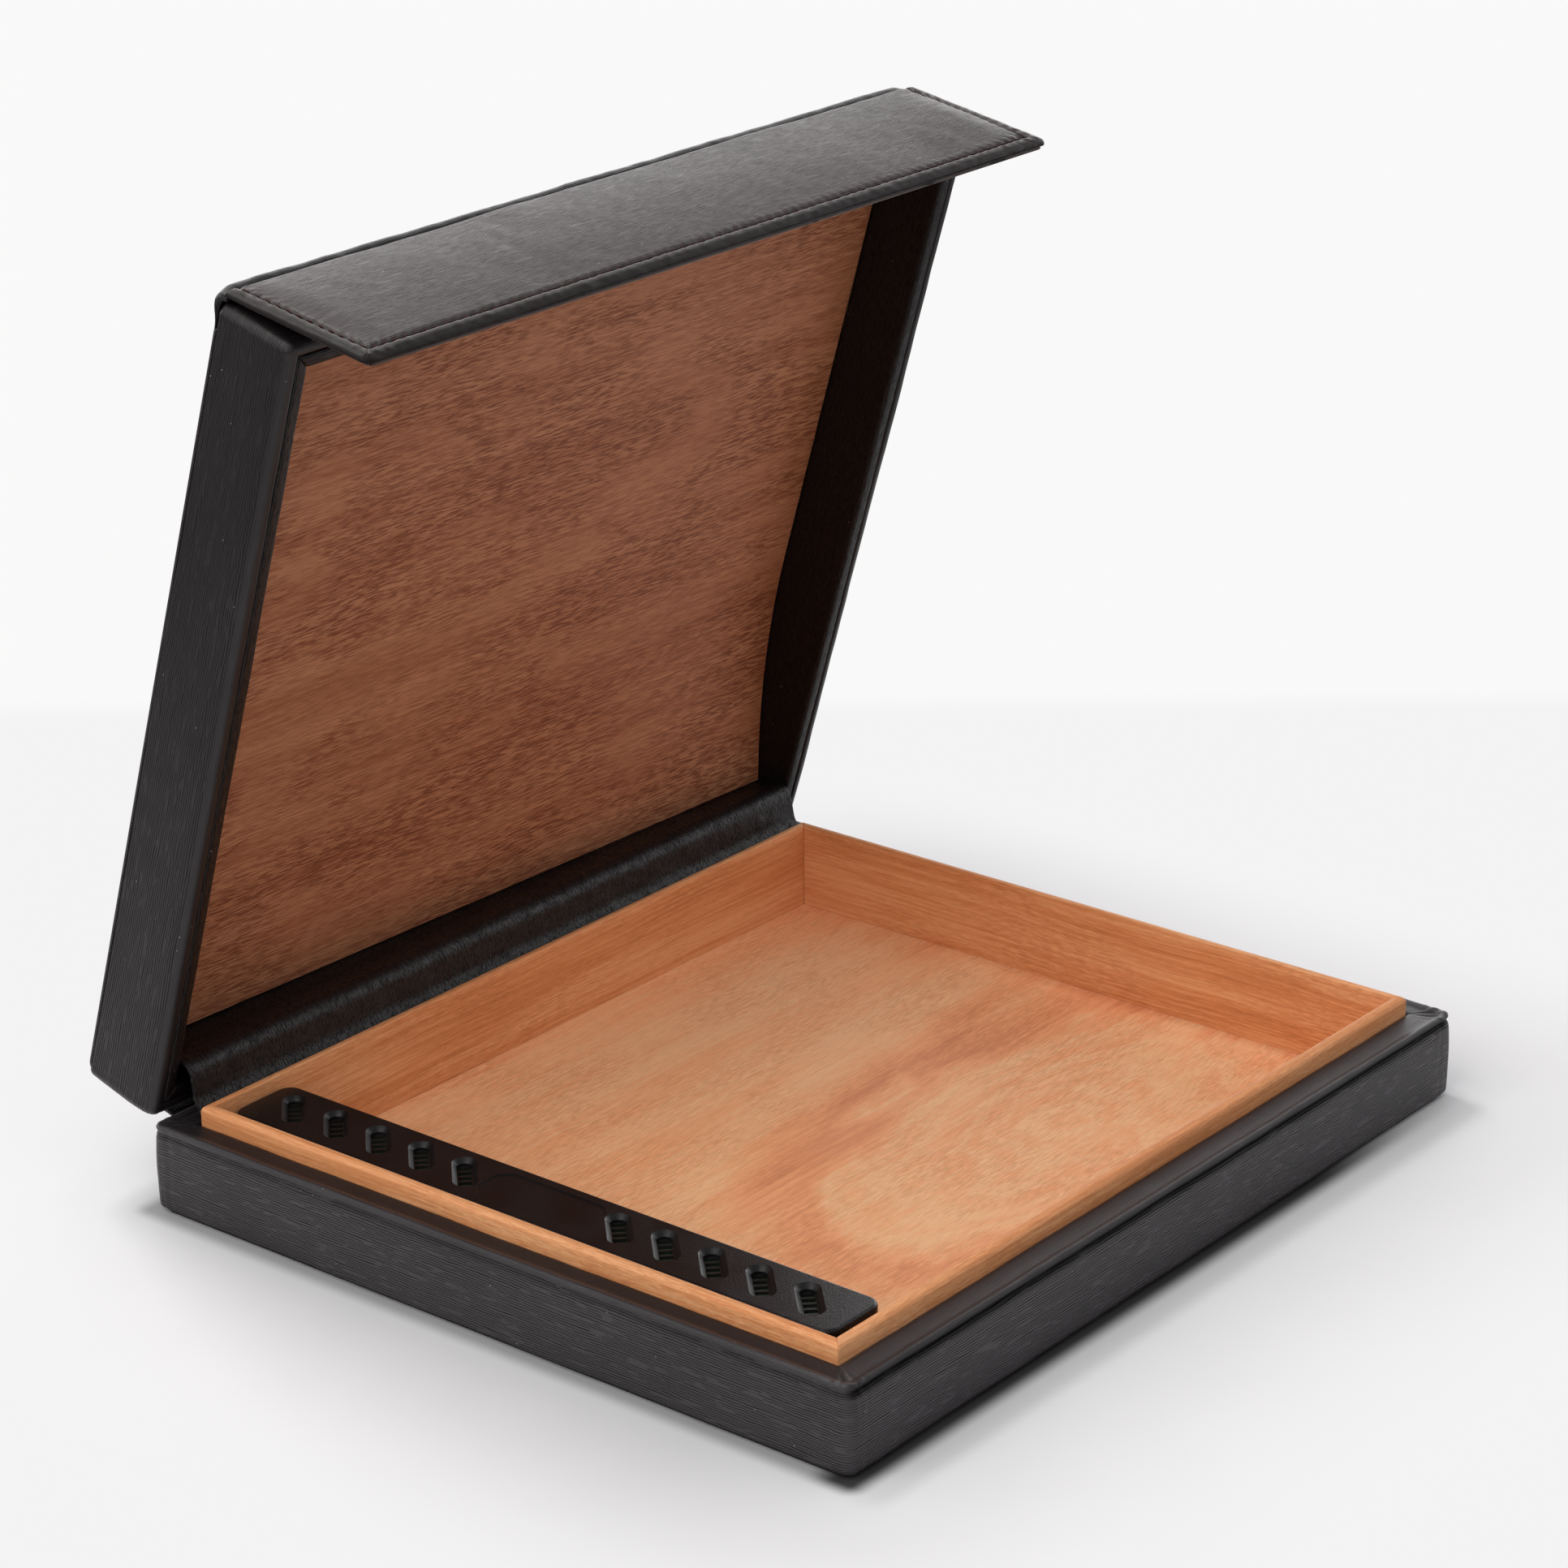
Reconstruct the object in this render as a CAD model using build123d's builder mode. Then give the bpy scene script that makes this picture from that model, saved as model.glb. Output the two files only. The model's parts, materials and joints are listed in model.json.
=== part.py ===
from build123d import *

import math
import os

# Travel humidor: a leather-covered tray and lid, hinged at the back, with a padded closing flap.
# Frame: origin at the centre of the underside, +X along the hinge, -Y at the flap side, +Z up.
# The lid stands part open, as it does on its stiff leather hinge.

# Outer sizes
body_width = 250.0
body_depth = 215.0
base_height = 23.2
lid_height = 22.9
lid_length = 214.2
corner_radius = 4.8
rim_gap = 0.3

# Rest pose
lid_open_angle = 73.6
flap_open_angle = 5.6

# Leather and boards
leather = 1.2
lining = 1.0
bottom_leather_thickness = 0.9
board = 2.0
lid_board = 1.8
side_inset = 8.0
end_inset = 9.4
lid_wall = 7.6
edge_round = 2.2
lid_top_round = 1.0
foot_bevel = 0.8
turn_in_depth = 11.0
rim_turn = 2.6
bottom_leather_inset = 1.5
face_gap = 0.05
fit_gap = 0.3

# Cedar
cedar_floor_thickness = 0.9
liner_thickness = 2.6
liner_top = 27.7
lip_outer_round = 1.6
lip_inner_round = 0.6
panel_thickness = 0.9

# The lid's cedar panel has come up from its board along the hinge, most at its right corner.
panel_lift_start = 80.0
panel_foot = 10.2
panel_left_lift = 4.0
panel_right_lift = 9.5

# Hinge leathers
hinge_slot = 1.0
hinge_strip_thickness = 0.9
hinge_strip_foot = 12.0
hinge_strip_top = 17.4
hinge_strip_bend = 9.5
hinge_strip_lean = 0.6
hinge_strip_side_gap = 0.5
hinge_ridge_out = 5.0
hinge_ridge_rise = 9.4
hinge_roll_out = 6.6
hinge_roll_drop = 0.2
hinge_tuck_rise = 1.0
hinge_strip_radii = [8.0, 3.2, 6.0, 3.0]
spine_thickness = 1.2
spine_width = 240.0
spine_lid_end = 21.4
spine_lid_bulge_out = 3.9
spine_lid_bulge_up = 11.5
spine_fold_out = 2.8
spine_fold_drop = 2.8
spine_base_bulge_out = 2.5
spine_base_bulge_drop = 10.2
spine_base_end_drop = 15.5
spine_radii = [9.0, 2.5, 9.0]

# Closing flap
flap_width = 248.6
flap_tip = 45.0
flap_root = 4.5
flap_axis_out = 1.0
flap_axis_drop = 1.0
flap_gap = 0.15
flap_leather = 1.0
flap_pocket_corner = 1.2
flap_lining_thickness = 0.8
flap_lining_inset = 0.3
flap_stiffener_thickness = 1.0
flap_stiffener_gap = 0.2
flap_padding_gap = 0.4
flap_edge_thickness = 3.2
flap_corner = 2.0
flap_edge_round = 1.0
flap_crown = 0.6
flap_crown_foot_inset = 4.5
flap_crown_top_inset = 11.0
flap_crown_foot_corner = 3.0
flap_crown_top_corner = 5.0
fold_thickness = 1.1
fold_radius = 4.2
fold_lap = 7.0
magnet_count = 3
magnet_spacing = 84.0
magnet_radius = 5.0
catch_height = 8.5
catch_length = 26.0
catch_width = 12.0
catch_thickness = 0.8

# Humidifier
bar_width = 20.4
bar_length = 185.0
bar_top = 24.4
bar_centre_x = -99.8
bar_centre_y = 2.6
bar_wall = 1.3
bar_top_thickness = 1.9
bar_corner = 4.0
bar_edge_round = 1.0
slot_length = 13.6
slot_width = 3.8
slot_funnel = 1.2
slot_pitch = 14.0
slot_group_offset = 52.0
slot_turn = 44.0
slot_mid_y = 3.8
slot_mid_x = -99.3
plate_width = 13.0
plate_length = 34.0
plate_corner = 3.0
plate_depth = 0.3
grille_thickness = 0.8
window_count = 5
window_pitch = 2.6
window_length = 1.8
window_width = 3.2
inner_fit = 0.2
foam_corner = 2.0
bottom_cover_thickness = 1.2
bar_magnet_spacing = 120.0
bar_magnet_skin = 0.2
keeper_thickness = 1.0
keeper_size = 14.0
keeper_corner = 1.5

# How many wall thicknesses a mitre cut reaches in from its corner
MITRE_REACH = 3

# Levels and half sizes worked out from the above
half_width = body_width / 2
half_depth = body_depth / 2
board_level = bottom_leather_thickness
floor_level = board_level + board
tray_floor = floor_level + cedar_floor_thickness
liner_half_x = half_width - side_inset
liner_half_y = half_depth - end_inset
wall_foot = board_level + lining
wall_top = base_height - leather

os.makedirs("parts", exist_ok=True)


def save(piece, name):
    """Label a finished piece and write it as its own file."""
    piece.label = name
    export_step(piece, f"parts/{name}.step")


def base_level(z):
    """A horizontal plane at height z."""
    return Plane.XY.offset(z)


open_angle = math.radians(lid_open_angle)
lid_up = Vector(0, math.sin(open_angle), math.cos(open_angle))
hinge_point = Vector(0, half_depth, base_height + rim_gap)
lid_plane = Plane(origin=hinge_point, x_dir=(1, 0, 0), z_dir=lid_up)


def lid_level(h):
    """A plane parallel to the lid's rim, h above it, centred on the lid."""
    origin = lid_plane.from_local_coords(Vector(0, -lid_length / 2, h))
    return Plane(origin=origin, x_dir=(1, 0, 0), z_dir=lid_up)


def lid_section(x):
    """A plane across the lid at x: its first axis runs to the hinge, its second up to the lid's top."""
    origin = lid_plane.from_local_coords(Vector(x, 0, 0))
    return Plane(origin=origin, x_dir=lid_plane.y_dir, z_dir=(1, 0, 0))


def lid_point(along, up):
    """World Y and Z of a point given along the lid from the hinge and up from its rim."""
    point = lid_plane.from_local_coords(Vector(0, -along, up))
    return (point.Y, point.Z)


# The flap turns about a line inside its fold, at the lid's top front edge.
flap_axis_along = lid_length + flap_axis_out
flap_axis_up = lid_height - flap_axis_drop
flap_turn = math.radians(flap_open_angle)
flap_out = lid_plane.y_dir * -math.cos(flap_turn) + lid_up * math.sin(flap_turn)
flap_origin = lid_plane.from_local_coords(Vector(0, -flap_axis_along, flap_axis_up))
flap_plane = Plane(origin=flap_origin, x_dir=(1, 0, 0), z_dir=flap_out)
flap_length = flap_tip - flap_root


def flap_level(t):
    """A plane t out from the flap's hinge line, centred on the flap."""
    origin = flap_plane.from_local_coords(Vector(0, -(flap_root + flap_tip) / 2, t))
    return Plane(origin=origin, x_dir=(1, 0, 0), z_dir=flap_out)


def mitred_side(plane, outer, inner, height, side, shift=0, corner=0, outer_round=0, inner_round=0):
    """One side of a mitred frame on a plane: 0 front, 1 right, 2 back, 3 left.

    outer and inner are the frame's sizes, and shift moves the inner opening towards the back.
    """
    half_x, half_y = outer[0] / 2, outer[1] / 2
    step_x = half_x - inner[0] / 2
    step_y = half_y - inner[1] / 2
    with BuildPart() as member:
        with BuildSketch(plane):
            if corner > 0:
                RectangleRounded(outer[0], outer[1], corner)
            else:
                Rectangle(outer[0], outer[1])
            with Locations((0, shift)):
                Rectangle(inner[0], inner[1], mode=Mode.SUBTRACT)
        extrude(amount=height)
        top = member.faces().sort_by(Axis(plane.origin, plane.z_dir))[-1]
        opening = top.inner_wires()[0].edges()
        if outer_round > 0:
            fillet(top.outer_wire().edges(), outer_round)
        if inner_round > 0:
            fillet(opening, inner_round)
        corners = [(-half_x, -half_y), (half_x, -half_y), (half_x, half_y), (-half_x, half_y)]
        ends = [corners[side], corners[(side + 1) % len(corners)]]
        inward = []
        for x, y in reversed(ends):
            mitre_y = step_y - math.copysign(shift, y)
            inward_x = x - math.copysign(MITRE_REACH * step_x, x)
            inward_y = y - math.copysign(MITRE_REACH * mitre_y, y)
            inward.append((inward_x, inward_y))
        with BuildSketch(plane):
            Polygon(*ends, *inward, align=None)
        extrude(amount=height, mode=Mode.INTERSECT)
    return member.part


side_names = ["front", "right", "back", "left"]

# Base: bottom leather, board and cedar floor
with BuildPart() as bottom_leather:
    with BuildSketch(base_level(0)):
        RectangleRounded(
            body_width - 2 * bottom_leather_inset,
            body_depth - 2 * bottom_leather_inset,
            corner_radius - bottom_leather_inset,
        )
    extrude(amount=bottom_leather_thickness)
save(bottom_leather.part, "base_bottom_leather")

core_half_x = liner_half_x + lining
core_front = liner_half_y + lining
core_back = liner_half_y + hinge_slot + lining
core_inner = (2 * core_half_x, core_front + core_back)
core_shift = (core_back - core_front) / 2

with BuildPart() as bottom_board:
    with BuildSketch(base_level(board_level)):
        with Locations((0, core_shift)):
            Rectangle(core_inner[0], core_inner[1])
    extrude(amount=board)
save(bottom_board.part, "base_bottom_board")

with BuildPart() as cedar_floor:
    with BuildSketch(base_level(floor_level)):
        with Locations((0, core_shift)):
            Rectangle(core_inner[0], core_inner[1])
    extrude(amount=cedar_floor_thickness)
save(cedar_floor.part, "cedar_floor")

# Base: four mitred wall boards. The front one is let in for the catch plates.
core_outer = (body_width - 2 * leather, body_depth - 2 * leather)
catch_face = Plane(
    origin=(0, -core_outer[1] / 2, catch_height), x_dir=(1, 0, 0), z_dir=(0, -1, 0)
)
for index, side_name in enumerate(side_names):
    wall = mitred_side(
        base_level(wall_foot), core_outer, core_inner, wall_top - wall_foot, index,
        shift=core_shift, corner=corner_radius - leather,
    )
    if side_name == "front":
        with BuildPart() as front_wall:
            add(wall)
            with BuildSketch(catch_face):
                with GridLocations(magnet_spacing, 0, magnet_count, 1):
                    Rectangle(catch_length, catch_width)
            extrude(amount=-catch_thickness, mode=Mode.SUBTRACT)
        wall = front_wall.part
    save(wall, f"base_{side_name}_wall")

with BuildPart() as catch_plates:
    with BuildSketch(catch_face):
        with GridLocations(magnet_spacing, 0, magnet_count, 1):
            Rectangle(catch_length, catch_width)
    extrude(amount=-catch_thickness)
save(catch_plates.part, "flap_catch_plates")

# Base: the side leather covers the walls outside, goes over the rim and turns in at both ends.
opening_half_back = liner_half_y + hinge_slot
opening = (2 * liner_half_x, liner_half_y + opening_half_back)
opening_shift = (opening_half_back - liner_half_y) / 2
with BuildPart() as base_leather:
    with BuildSketch(base_level(board_level)):
        RectangleRounded(body_width, body_depth, corner_radius)
    extrude(amount=base_height - board_level)
    rim = base_leather.faces().sort_by(Axis.Z)[-1].edges()
    foot = base_leather.faces().sort_by(Axis.Z)[0].edges()
    fillet(rim, edge_round)
    chamfer(foot, foot_bevel)
    with BuildSketch(base_level(wall_foot)):
        RectangleRounded(core_outer[0], core_outer[1], corner_radius - leather)
        with Locations((0, core_shift)):
            Rectangle(core_inner[0], core_inner[1], mode=Mode.SUBTRACT)
    extrude(amount=wall_top - wall_foot, mode=Mode.SUBTRACT)
    with BuildSketch(base_level(board_level)):
        with Locations((0, opening_shift)):
            Rectangle(opening[0], opening[1])
    extrude(amount=base_height, mode=Mode.SUBTRACT)
    with BuildSketch(base_level(board_level)):
        with Locations((0, core_shift)):
            Rectangle(core_inner[0], core_inner[1])
    extrude(amount=wall_top - turn_in_depth - board_level, mode=Mode.SUBTRACT)
save(base_leather.part, "base_side_leather")

# Base: four mitred cedar liners standing on the floor, their lip proud of the rim
liner_outer = (2 * liner_half_x, 2 * liner_half_y)
liner_inner = (liner_outer[0] - 2 * liner_thickness, liner_outer[1] - 2 * liner_thickness)
for index, side_name in enumerate(side_names):
    liner = mitred_side(
        base_level(tray_floor), liner_outer, liner_inner, liner_top - tray_floor, index,
        outer_round=lip_outer_round, inner_round=lip_inner_round,
    )
    save(liner, f"cedar_{side_name}_liner")

# Lid: board, walls, leather and cedar panel
panel_back = lid_height - leather - lid_board
wall_height = panel_back - leather
lid_core = (body_width - 2 * leather, lid_length - 2 * leather)
lid_clear = (body_width - 2 * lid_wall, lid_length - 2 * lid_wall)
lid_core_inner = (lid_clear[0] + 2 * lining, lid_clear[1] + 2 * lining)
strip_outer = (body_width - 2 * (leather + rim_turn), lid_length - 2 * (leather + rim_turn))

with BuildPart() as lid_top_board:
    with BuildSketch(lid_level(panel_back)):
        RectangleRounded(lid_core[0], lid_core[1], corner_radius - leather)
    extrude(amount=lid_board)
save(lid_top_board.part, "lid_top_board")

lid_down = Plane(origin=lid_level(panel_back).origin, x_dir=(1, 0, 0), z_dir=-lid_up)
lid_side_names = ["back", "right", "front", "left"]
for index, side_name in enumerate(lid_side_names):
    wall = mitred_side(
        lid_down, lid_core, lid_core_inner, wall_height, index, corner=corner_radius - leather
    )
    save(wall, f"lid_{side_name}_wall")

with BuildPart() as lid_leather:
    with BuildSketch(lid_level(0)):
        RectangleRounded(body_width, lid_length, corner_radius)
    extrude(amount=lid_height - leather)
    rim = lid_leather.faces().sort_by(Axis(hinge_point, lid_up))[0].edges()
    fillet(rim, edge_round)
    with BuildSketch(lid_level(leather)):
        RectangleRounded(lid_core[0], lid_core[1], corner_radius - leather)
    extrude(amount=lid_height, mode=Mode.SUBTRACT)
    with BuildSketch(lid_level(0)):
        Rectangle(strip_outer[0], strip_outer[1])
    extrude(amount=lid_height, mode=Mode.SUBTRACT)
save(lid_leather.part, "lid_side_leather")

# Each rim strip covers the rim inside the turned side leather and lines the wall up to the panel.
lining_top = panel_back - panel_thickness
for index, side_name in enumerate(side_names):
    rim_part = mitred_side(lid_level(0), strip_outer, lid_clear, leather, index)
    wall_part = mitred_side(
        lid_level(leather), lid_core_inner, lid_clear, panel_back - leather, index
    )
    with BuildPart() as rim_strip:
        add(rim_part)
        add(wall_part)
    save(rim_strip.part, f"lid_{side_name}_lining")

panel_half_width = lid_clear[0] / 2 - fit_gap
panel_front = lid_length - lid_wall - fit_gap
with BuildPart() as lid_panel:
    for x, lift in ((-panel_half_width, panel_left_lift), (panel_half_width, panel_right_lift)):
        with BuildSketch(lid_section(x)):
            with BuildLine():
                glued = Line((-panel_front, lining_top), (-panel_lift_start, lining_top))
                raised = TangentArc(
                    (-panel_lift_start, lining_top),
                    (-panel_foot, lining_top - lift),
                    tangent=glued % 1,
                )
                offset(amount=panel_thickness, side=Side.LEFT)
            make_face()
    loft(ruled=True)
save(lid_panel.part, "lid_cedar_panel")

cover_front = lid_length - fold_lap
with BuildPart() as lid_cover:
    with BuildSketch(lid_level(lid_height - leather)):
        RectangleRounded(body_width, lid_length, corner_radius)
    extrude(amount=leather)
    top_edges = lid_cover.faces().sort_by(Axis(hinge_point, lid_up))[-1].edges()
    fillet(top_edges, lid_top_round)
    front_cut = Plane(
        origin=lid_plane.from_local_coords(Vector(0, -cover_front, 0)),
        x_dir=(1, 0, 0),
        z_dir=lid_plane.y_dir,
    )
    split(bisect_by=front_cut, keep=Keep.TOP)
save(lid_cover.part, "lid_top_leather")

# Outer hinge: the spine leather bulges off both backs while the lid stands open.
spine_line = [
    lid_point(-spine_thickness - face_gap, spine_lid_end),
    lid_point(-spine_lid_bulge_out, spine_lid_bulge_up),
    (half_depth + spine_fold_out, base_height - spine_fold_drop),
    (half_depth + spine_base_bulge_out, base_height - spine_base_bulge_drop),
    (half_depth + spine_thickness + face_gap, base_height - spine_base_end_drop),
]
with BuildPart() as spine:
    with BuildSketch(Plane.YZ.offset(-spine_width / 2)):
        with BuildLine():
            FilletPolyline(*spine_line, radius=spine_radii)
            offset(amount=spine_thickness, side=Side.RIGHT)
        make_face()
    extrude(amount=spine_width)
save(spine.part, "spine_leather")

# Inner hinge: a strip on the lid's back wall that rolls over and goes down behind the back liner
strip_face_y = liner_half_y + face_gap
strip_along = lid_wall + hinge_strip_thickness + 2 * face_gap
hinge_line = [
    lid_point(strip_along, hinge_strip_top),
    lid_point(strip_along + hinge_strip_lean, hinge_strip_bend),
    (half_depth - hinge_ridge_out, liner_top + hinge_ridge_rise),
    (half_depth - hinge_roll_out, liner_top - hinge_roll_drop),
    (strip_face_y, base_height + hinge_tuck_rise),
    (strip_face_y, hinge_strip_foot),
]
strip_width = 2 * (liner_half_x - hinge_strip_side_gap)
with BuildPart() as inner_hinge:
    with BuildSketch(Plane.YZ.offset(-strip_width / 2)):
        with BuildLine():
            FilletPolyline(*hinge_line, radius=hinge_strip_radii)
            offset(amount=hinge_strip_thickness, side=Side.LEFT)
        make_face()
    extrude(amount=strip_width)
save(inner_hinge.part, "inner_hinge_leather")

# Flap: fold, padded outer leather, padding, stiffener, lining and magnets
flap_face = flap_gap + flap_edge_thickness
fold_end = flap_plane.from_local_coords(Vector(0, -flap_root, flap_face))
fold_end_local = lid_plane.to_local_coords(fold_end)
slope = math.tan(flap_turn)
fold_corner_along = -fold_end_local.Y - slope * (lid_height - fold_end_local.Z)
fold_points = [
    (-cover_front, lid_height),
    (-fold_corner_along, lid_height),
    (fold_end_local.Y, fold_end_local.Z),
]
with BuildPart() as fold:
    with BuildSketch(lid_section(-flap_width / 2)):
        with BuildLine():
            FilletPolyline(*fold_points, radius=fold_radius)
            offset(amount=fold_thickness, side=Side.LEFT)
        make_face()
    extrude(amount=flap_width)
save(fold.part, "flap_fold_leather")

lining_face = flap_gap + flap_lining_thickness
stiffener_face = lining_face + flap_stiffener_thickness
pocket = (flap_width - 2 * flap_leather, flap_length - 2 * flap_leather)
with BuildPart() as flap_cover:
    with BuildSketch(flap_level(lining_face)):
        RectangleRounded(flap_width, flap_length, flap_corner)
    extrude(amount=flap_face - lining_face)
    fillet(flap_cover.faces().sort_by(Axis(flap_origin, flap_out))[-1].edges(), flap_edge_round)
    with BuildSketch(flap_level(flap_face)):
        RectangleRounded(
            flap_width - 2 * flap_crown_foot_inset,
            flap_length - 2 * flap_crown_foot_inset,
            flap_crown_foot_corner,
        )
    with BuildSketch(flap_level(flap_face + flap_crown)):
        RectangleRounded(
            flap_width - 2 * flap_crown_top_inset,
            flap_length - 2 * flap_crown_top_inset,
            flap_crown_top_corner,
        )
    loft()
    with BuildSketch(flap_level(lining_face)):
        RectangleRounded(pocket[0], pocket[1], flap_pocket_corner)
    extrude(amount=flap_face - lining_face - flap_leather, mode=Mode.SUBTRACT)
save(flap_cover.part, "flap_outer_leather")

magnet_line = flap_plane.from_local_coords(
    Vector(0, catch_height - (base_height + rim_gap + flap_axis_up), lining_face)
)
magnet_plane = Plane(origin=magnet_line, x_dir=(1, 0, 0), z_dir=flap_out)
with BuildPart() as flap_stiffener:
    with BuildSketch(flap_level(lining_face)):
        Rectangle(pocket[0] - 2 * flap_stiffener_gap, pocket[1] - 2 * flap_stiffener_gap)
    extrude(amount=flap_stiffener_thickness)
    with BuildSketch(magnet_plane):
        with GridLocations(magnet_spacing, 0, magnet_count, 1):
            Circle(magnet_radius)
    extrude(amount=flap_stiffener_thickness, mode=Mode.SUBTRACT)
save(flap_stiffener.part, "flap_stiffener")

with BuildPart() as flap_magnets:
    with BuildSketch(magnet_plane):
        with GridLocations(magnet_spacing, 0, magnet_count, 1):
            Circle(magnet_radius)
    extrude(amount=flap_stiffener_thickness)
save(flap_magnets.part, "flap_magnets")

with BuildPart() as flap_padding:
    with BuildSketch(flap_level(stiffener_face)):
        Rectangle(pocket[0] - 2 * flap_padding_gap, pocket[1] - 2 * flap_padding_gap)
    extrude(amount=flap_face - flap_leather - stiffener_face)
save(flap_padding.part, "flap_padding")

with BuildPart() as flap_lining:
    with BuildSketch(flap_level(flap_gap)):
        RectangleRounded(
            flap_width - 2 * flap_lining_inset,
            flap_length - 2 * flap_lining_inset,
            flap_corner - flap_lining_inset,
        )
    extrude(amount=flap_lining_thickness)
save(flap_lining.part, "flap_lining")

# Humidifier: a case with funnelled slots over a ribbed grille, foam, a bottom cover and magnets
bar_foot = tray_floor + keeper_thickness
bar_height = bar_top - bar_foot
bar_plane = Plane(origin=(bar_centre_x, bar_centre_y, bar_foot))
bar_inner = (bar_width - 2 * bar_wall, bar_length - 2 * bar_wall)
bar_inner_corner = bar_corner - bar_wall
slot_plane = Plane(origin=(slot_mid_x, slot_mid_y, bar_top))
slot_places = []
for group in (-1, 1):
    for step in range(-2, 3):
        slot_places.append((0, group * slot_group_offset + step * slot_pitch))

with BuildPart() as bar_case:
    with BuildSketch(bar_plane):
        RectangleRounded(bar_width, bar_length, bar_corner)
    extrude(amount=bar_height)
    fillet(bar_case.faces().sort_by(Axis.Z)[-1].edges(), bar_edge_round)
    with BuildSketch(bar_plane):
        RectangleRounded(bar_inner[0], bar_inner[1], bar_inner_corner)
    extrude(amount=bar_height - bar_top_thickness, mode=Mode.SUBTRACT)
    with BuildSketch(slot_plane):
        with Locations(*slot_places):
            SlotOverall(slot_length, slot_width, rotation=slot_turn)
    extrude(amount=-bar_top_thickness, mode=Mode.SUBTRACT)
    mouths = bar_case.faces().sort_by(Axis.Z)[-1].inner_wires()
    for mouth in mouths:
        chamfer(mouth.edges(), slot_funnel)
    with BuildSketch(slot_plane):
        plate = Rectangle(plate_width, plate_length)
        chamfer(plate.vertices(), plate_corner)
    extrude(amount=-plate_depth, mode=Mode.SUBTRACT)
save(bar_case.part, "humidifier_case")

grille_foot = bar_top - bar_top_thickness - grille_thickness
grille_plane = Plane(origin=(slot_mid_x, slot_mid_y, grille_foot))
grille_shift = (bar_centre_x - slot_mid_x, bar_centre_y - slot_mid_y)
with BuildPart() as bar_grille:
    with BuildSketch(grille_plane):
        with Locations(grille_shift):
            RectangleRounded(
                bar_inner[0] - 2 * inner_fit, bar_inner[1] - 2 * inner_fit, bar_inner_corner - inner_fit
            )
        turned = [Location((x, y), (0, 0, slot_turn)) for x, y in slot_places]
        with Locations(*turned):
            with GridLocations(window_pitch, 0, window_count, 1):
                Rectangle(window_length, window_width, mode=Mode.SUBTRACT)
    extrude(amount=grille_thickness)
save(bar_grille.part, "humidifier_grille")

foam_foot = bar_foot + bottom_cover_thickness + inner_fit
with BuildPart() as bar_foam:
    with BuildSketch(Plane(origin=(bar_centre_x, bar_centre_y, foam_foot))):
        RectangleRounded(bar_inner[0] - 2 * fit_gap, bar_inner[1] - 2 * fit_gap, foam_corner)
    extrude(amount=grille_foot - face_gap - foam_foot)
save(bar_foam.part, "humidifier_foam")

with BuildPart() as bar_cover:
    with BuildSketch(bar_plane):
        RectangleRounded(bar_inner[0] - face_gap, bar_inner[1] - face_gap, bar_inner_corner)
    extrude(amount=bottom_cover_thickness)
    with BuildSketch(bar_plane):
        with GridLocations(0, bar_magnet_spacing, 1, 2):
            Circle(magnet_radius)
    extrude(amount=bottom_cover_thickness - bar_magnet_skin, mode=Mode.SUBTRACT)
save(bar_cover.part, "humidifier_bottom_cover")

with BuildPart() as bar_magnets:
    with BuildSketch(bar_plane):
        with GridLocations(0, bar_magnet_spacing, 1, 2):
            Circle(magnet_radius)
    extrude(amount=bottom_cover_thickness - bar_magnet_skin)
save(bar_magnets.part, "humidifier_magnets")

with BuildPart() as keepers:
    with BuildSketch(Plane(origin=(bar_centre_x, bar_centre_y, tray_floor))):
        with GridLocations(0, bar_magnet_spacing, 1, 2):
            RectangleRounded(keeper_size, keeper_size, keeper_corner)
    extrude(amount=keeper_thickness)
save(keepers.part, "humidifier_keeper_plates")
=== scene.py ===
"""A travel humidor: leather case, cedar tray, hinged lid, padded closing flap and humidifier bar.

Lengths in the classes are millimetres, in the frame of the part they belong to. MM turns them
into the metres of the shared frame, where every finished mesh has its place.
"""

import itertools
import json
import logging
import math
from dataclasses import dataclass
from enum import Enum

import bmesh
import bpy
import numpy as np
from mathutils import Matrix, Vector


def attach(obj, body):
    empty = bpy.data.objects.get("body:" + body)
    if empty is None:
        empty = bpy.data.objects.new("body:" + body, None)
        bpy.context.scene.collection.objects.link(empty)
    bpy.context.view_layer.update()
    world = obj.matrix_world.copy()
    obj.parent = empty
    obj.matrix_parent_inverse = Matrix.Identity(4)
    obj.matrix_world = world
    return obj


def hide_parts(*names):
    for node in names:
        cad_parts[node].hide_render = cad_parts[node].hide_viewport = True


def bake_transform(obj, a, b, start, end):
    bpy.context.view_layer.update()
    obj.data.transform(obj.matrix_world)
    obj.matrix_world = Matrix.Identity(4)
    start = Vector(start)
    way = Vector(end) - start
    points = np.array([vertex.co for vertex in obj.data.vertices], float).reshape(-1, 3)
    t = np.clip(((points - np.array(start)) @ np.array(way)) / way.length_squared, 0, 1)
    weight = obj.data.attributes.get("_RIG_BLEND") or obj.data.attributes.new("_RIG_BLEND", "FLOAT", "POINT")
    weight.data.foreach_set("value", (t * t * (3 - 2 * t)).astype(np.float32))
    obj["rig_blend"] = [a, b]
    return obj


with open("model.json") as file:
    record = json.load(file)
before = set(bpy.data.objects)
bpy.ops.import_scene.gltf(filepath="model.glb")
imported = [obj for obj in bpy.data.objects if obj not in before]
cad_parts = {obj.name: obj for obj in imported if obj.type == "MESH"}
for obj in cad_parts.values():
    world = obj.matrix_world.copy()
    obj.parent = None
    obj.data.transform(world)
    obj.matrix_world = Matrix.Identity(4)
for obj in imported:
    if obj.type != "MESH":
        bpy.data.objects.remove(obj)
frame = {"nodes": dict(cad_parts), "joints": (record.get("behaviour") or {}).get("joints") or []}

MM = 0.001
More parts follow.
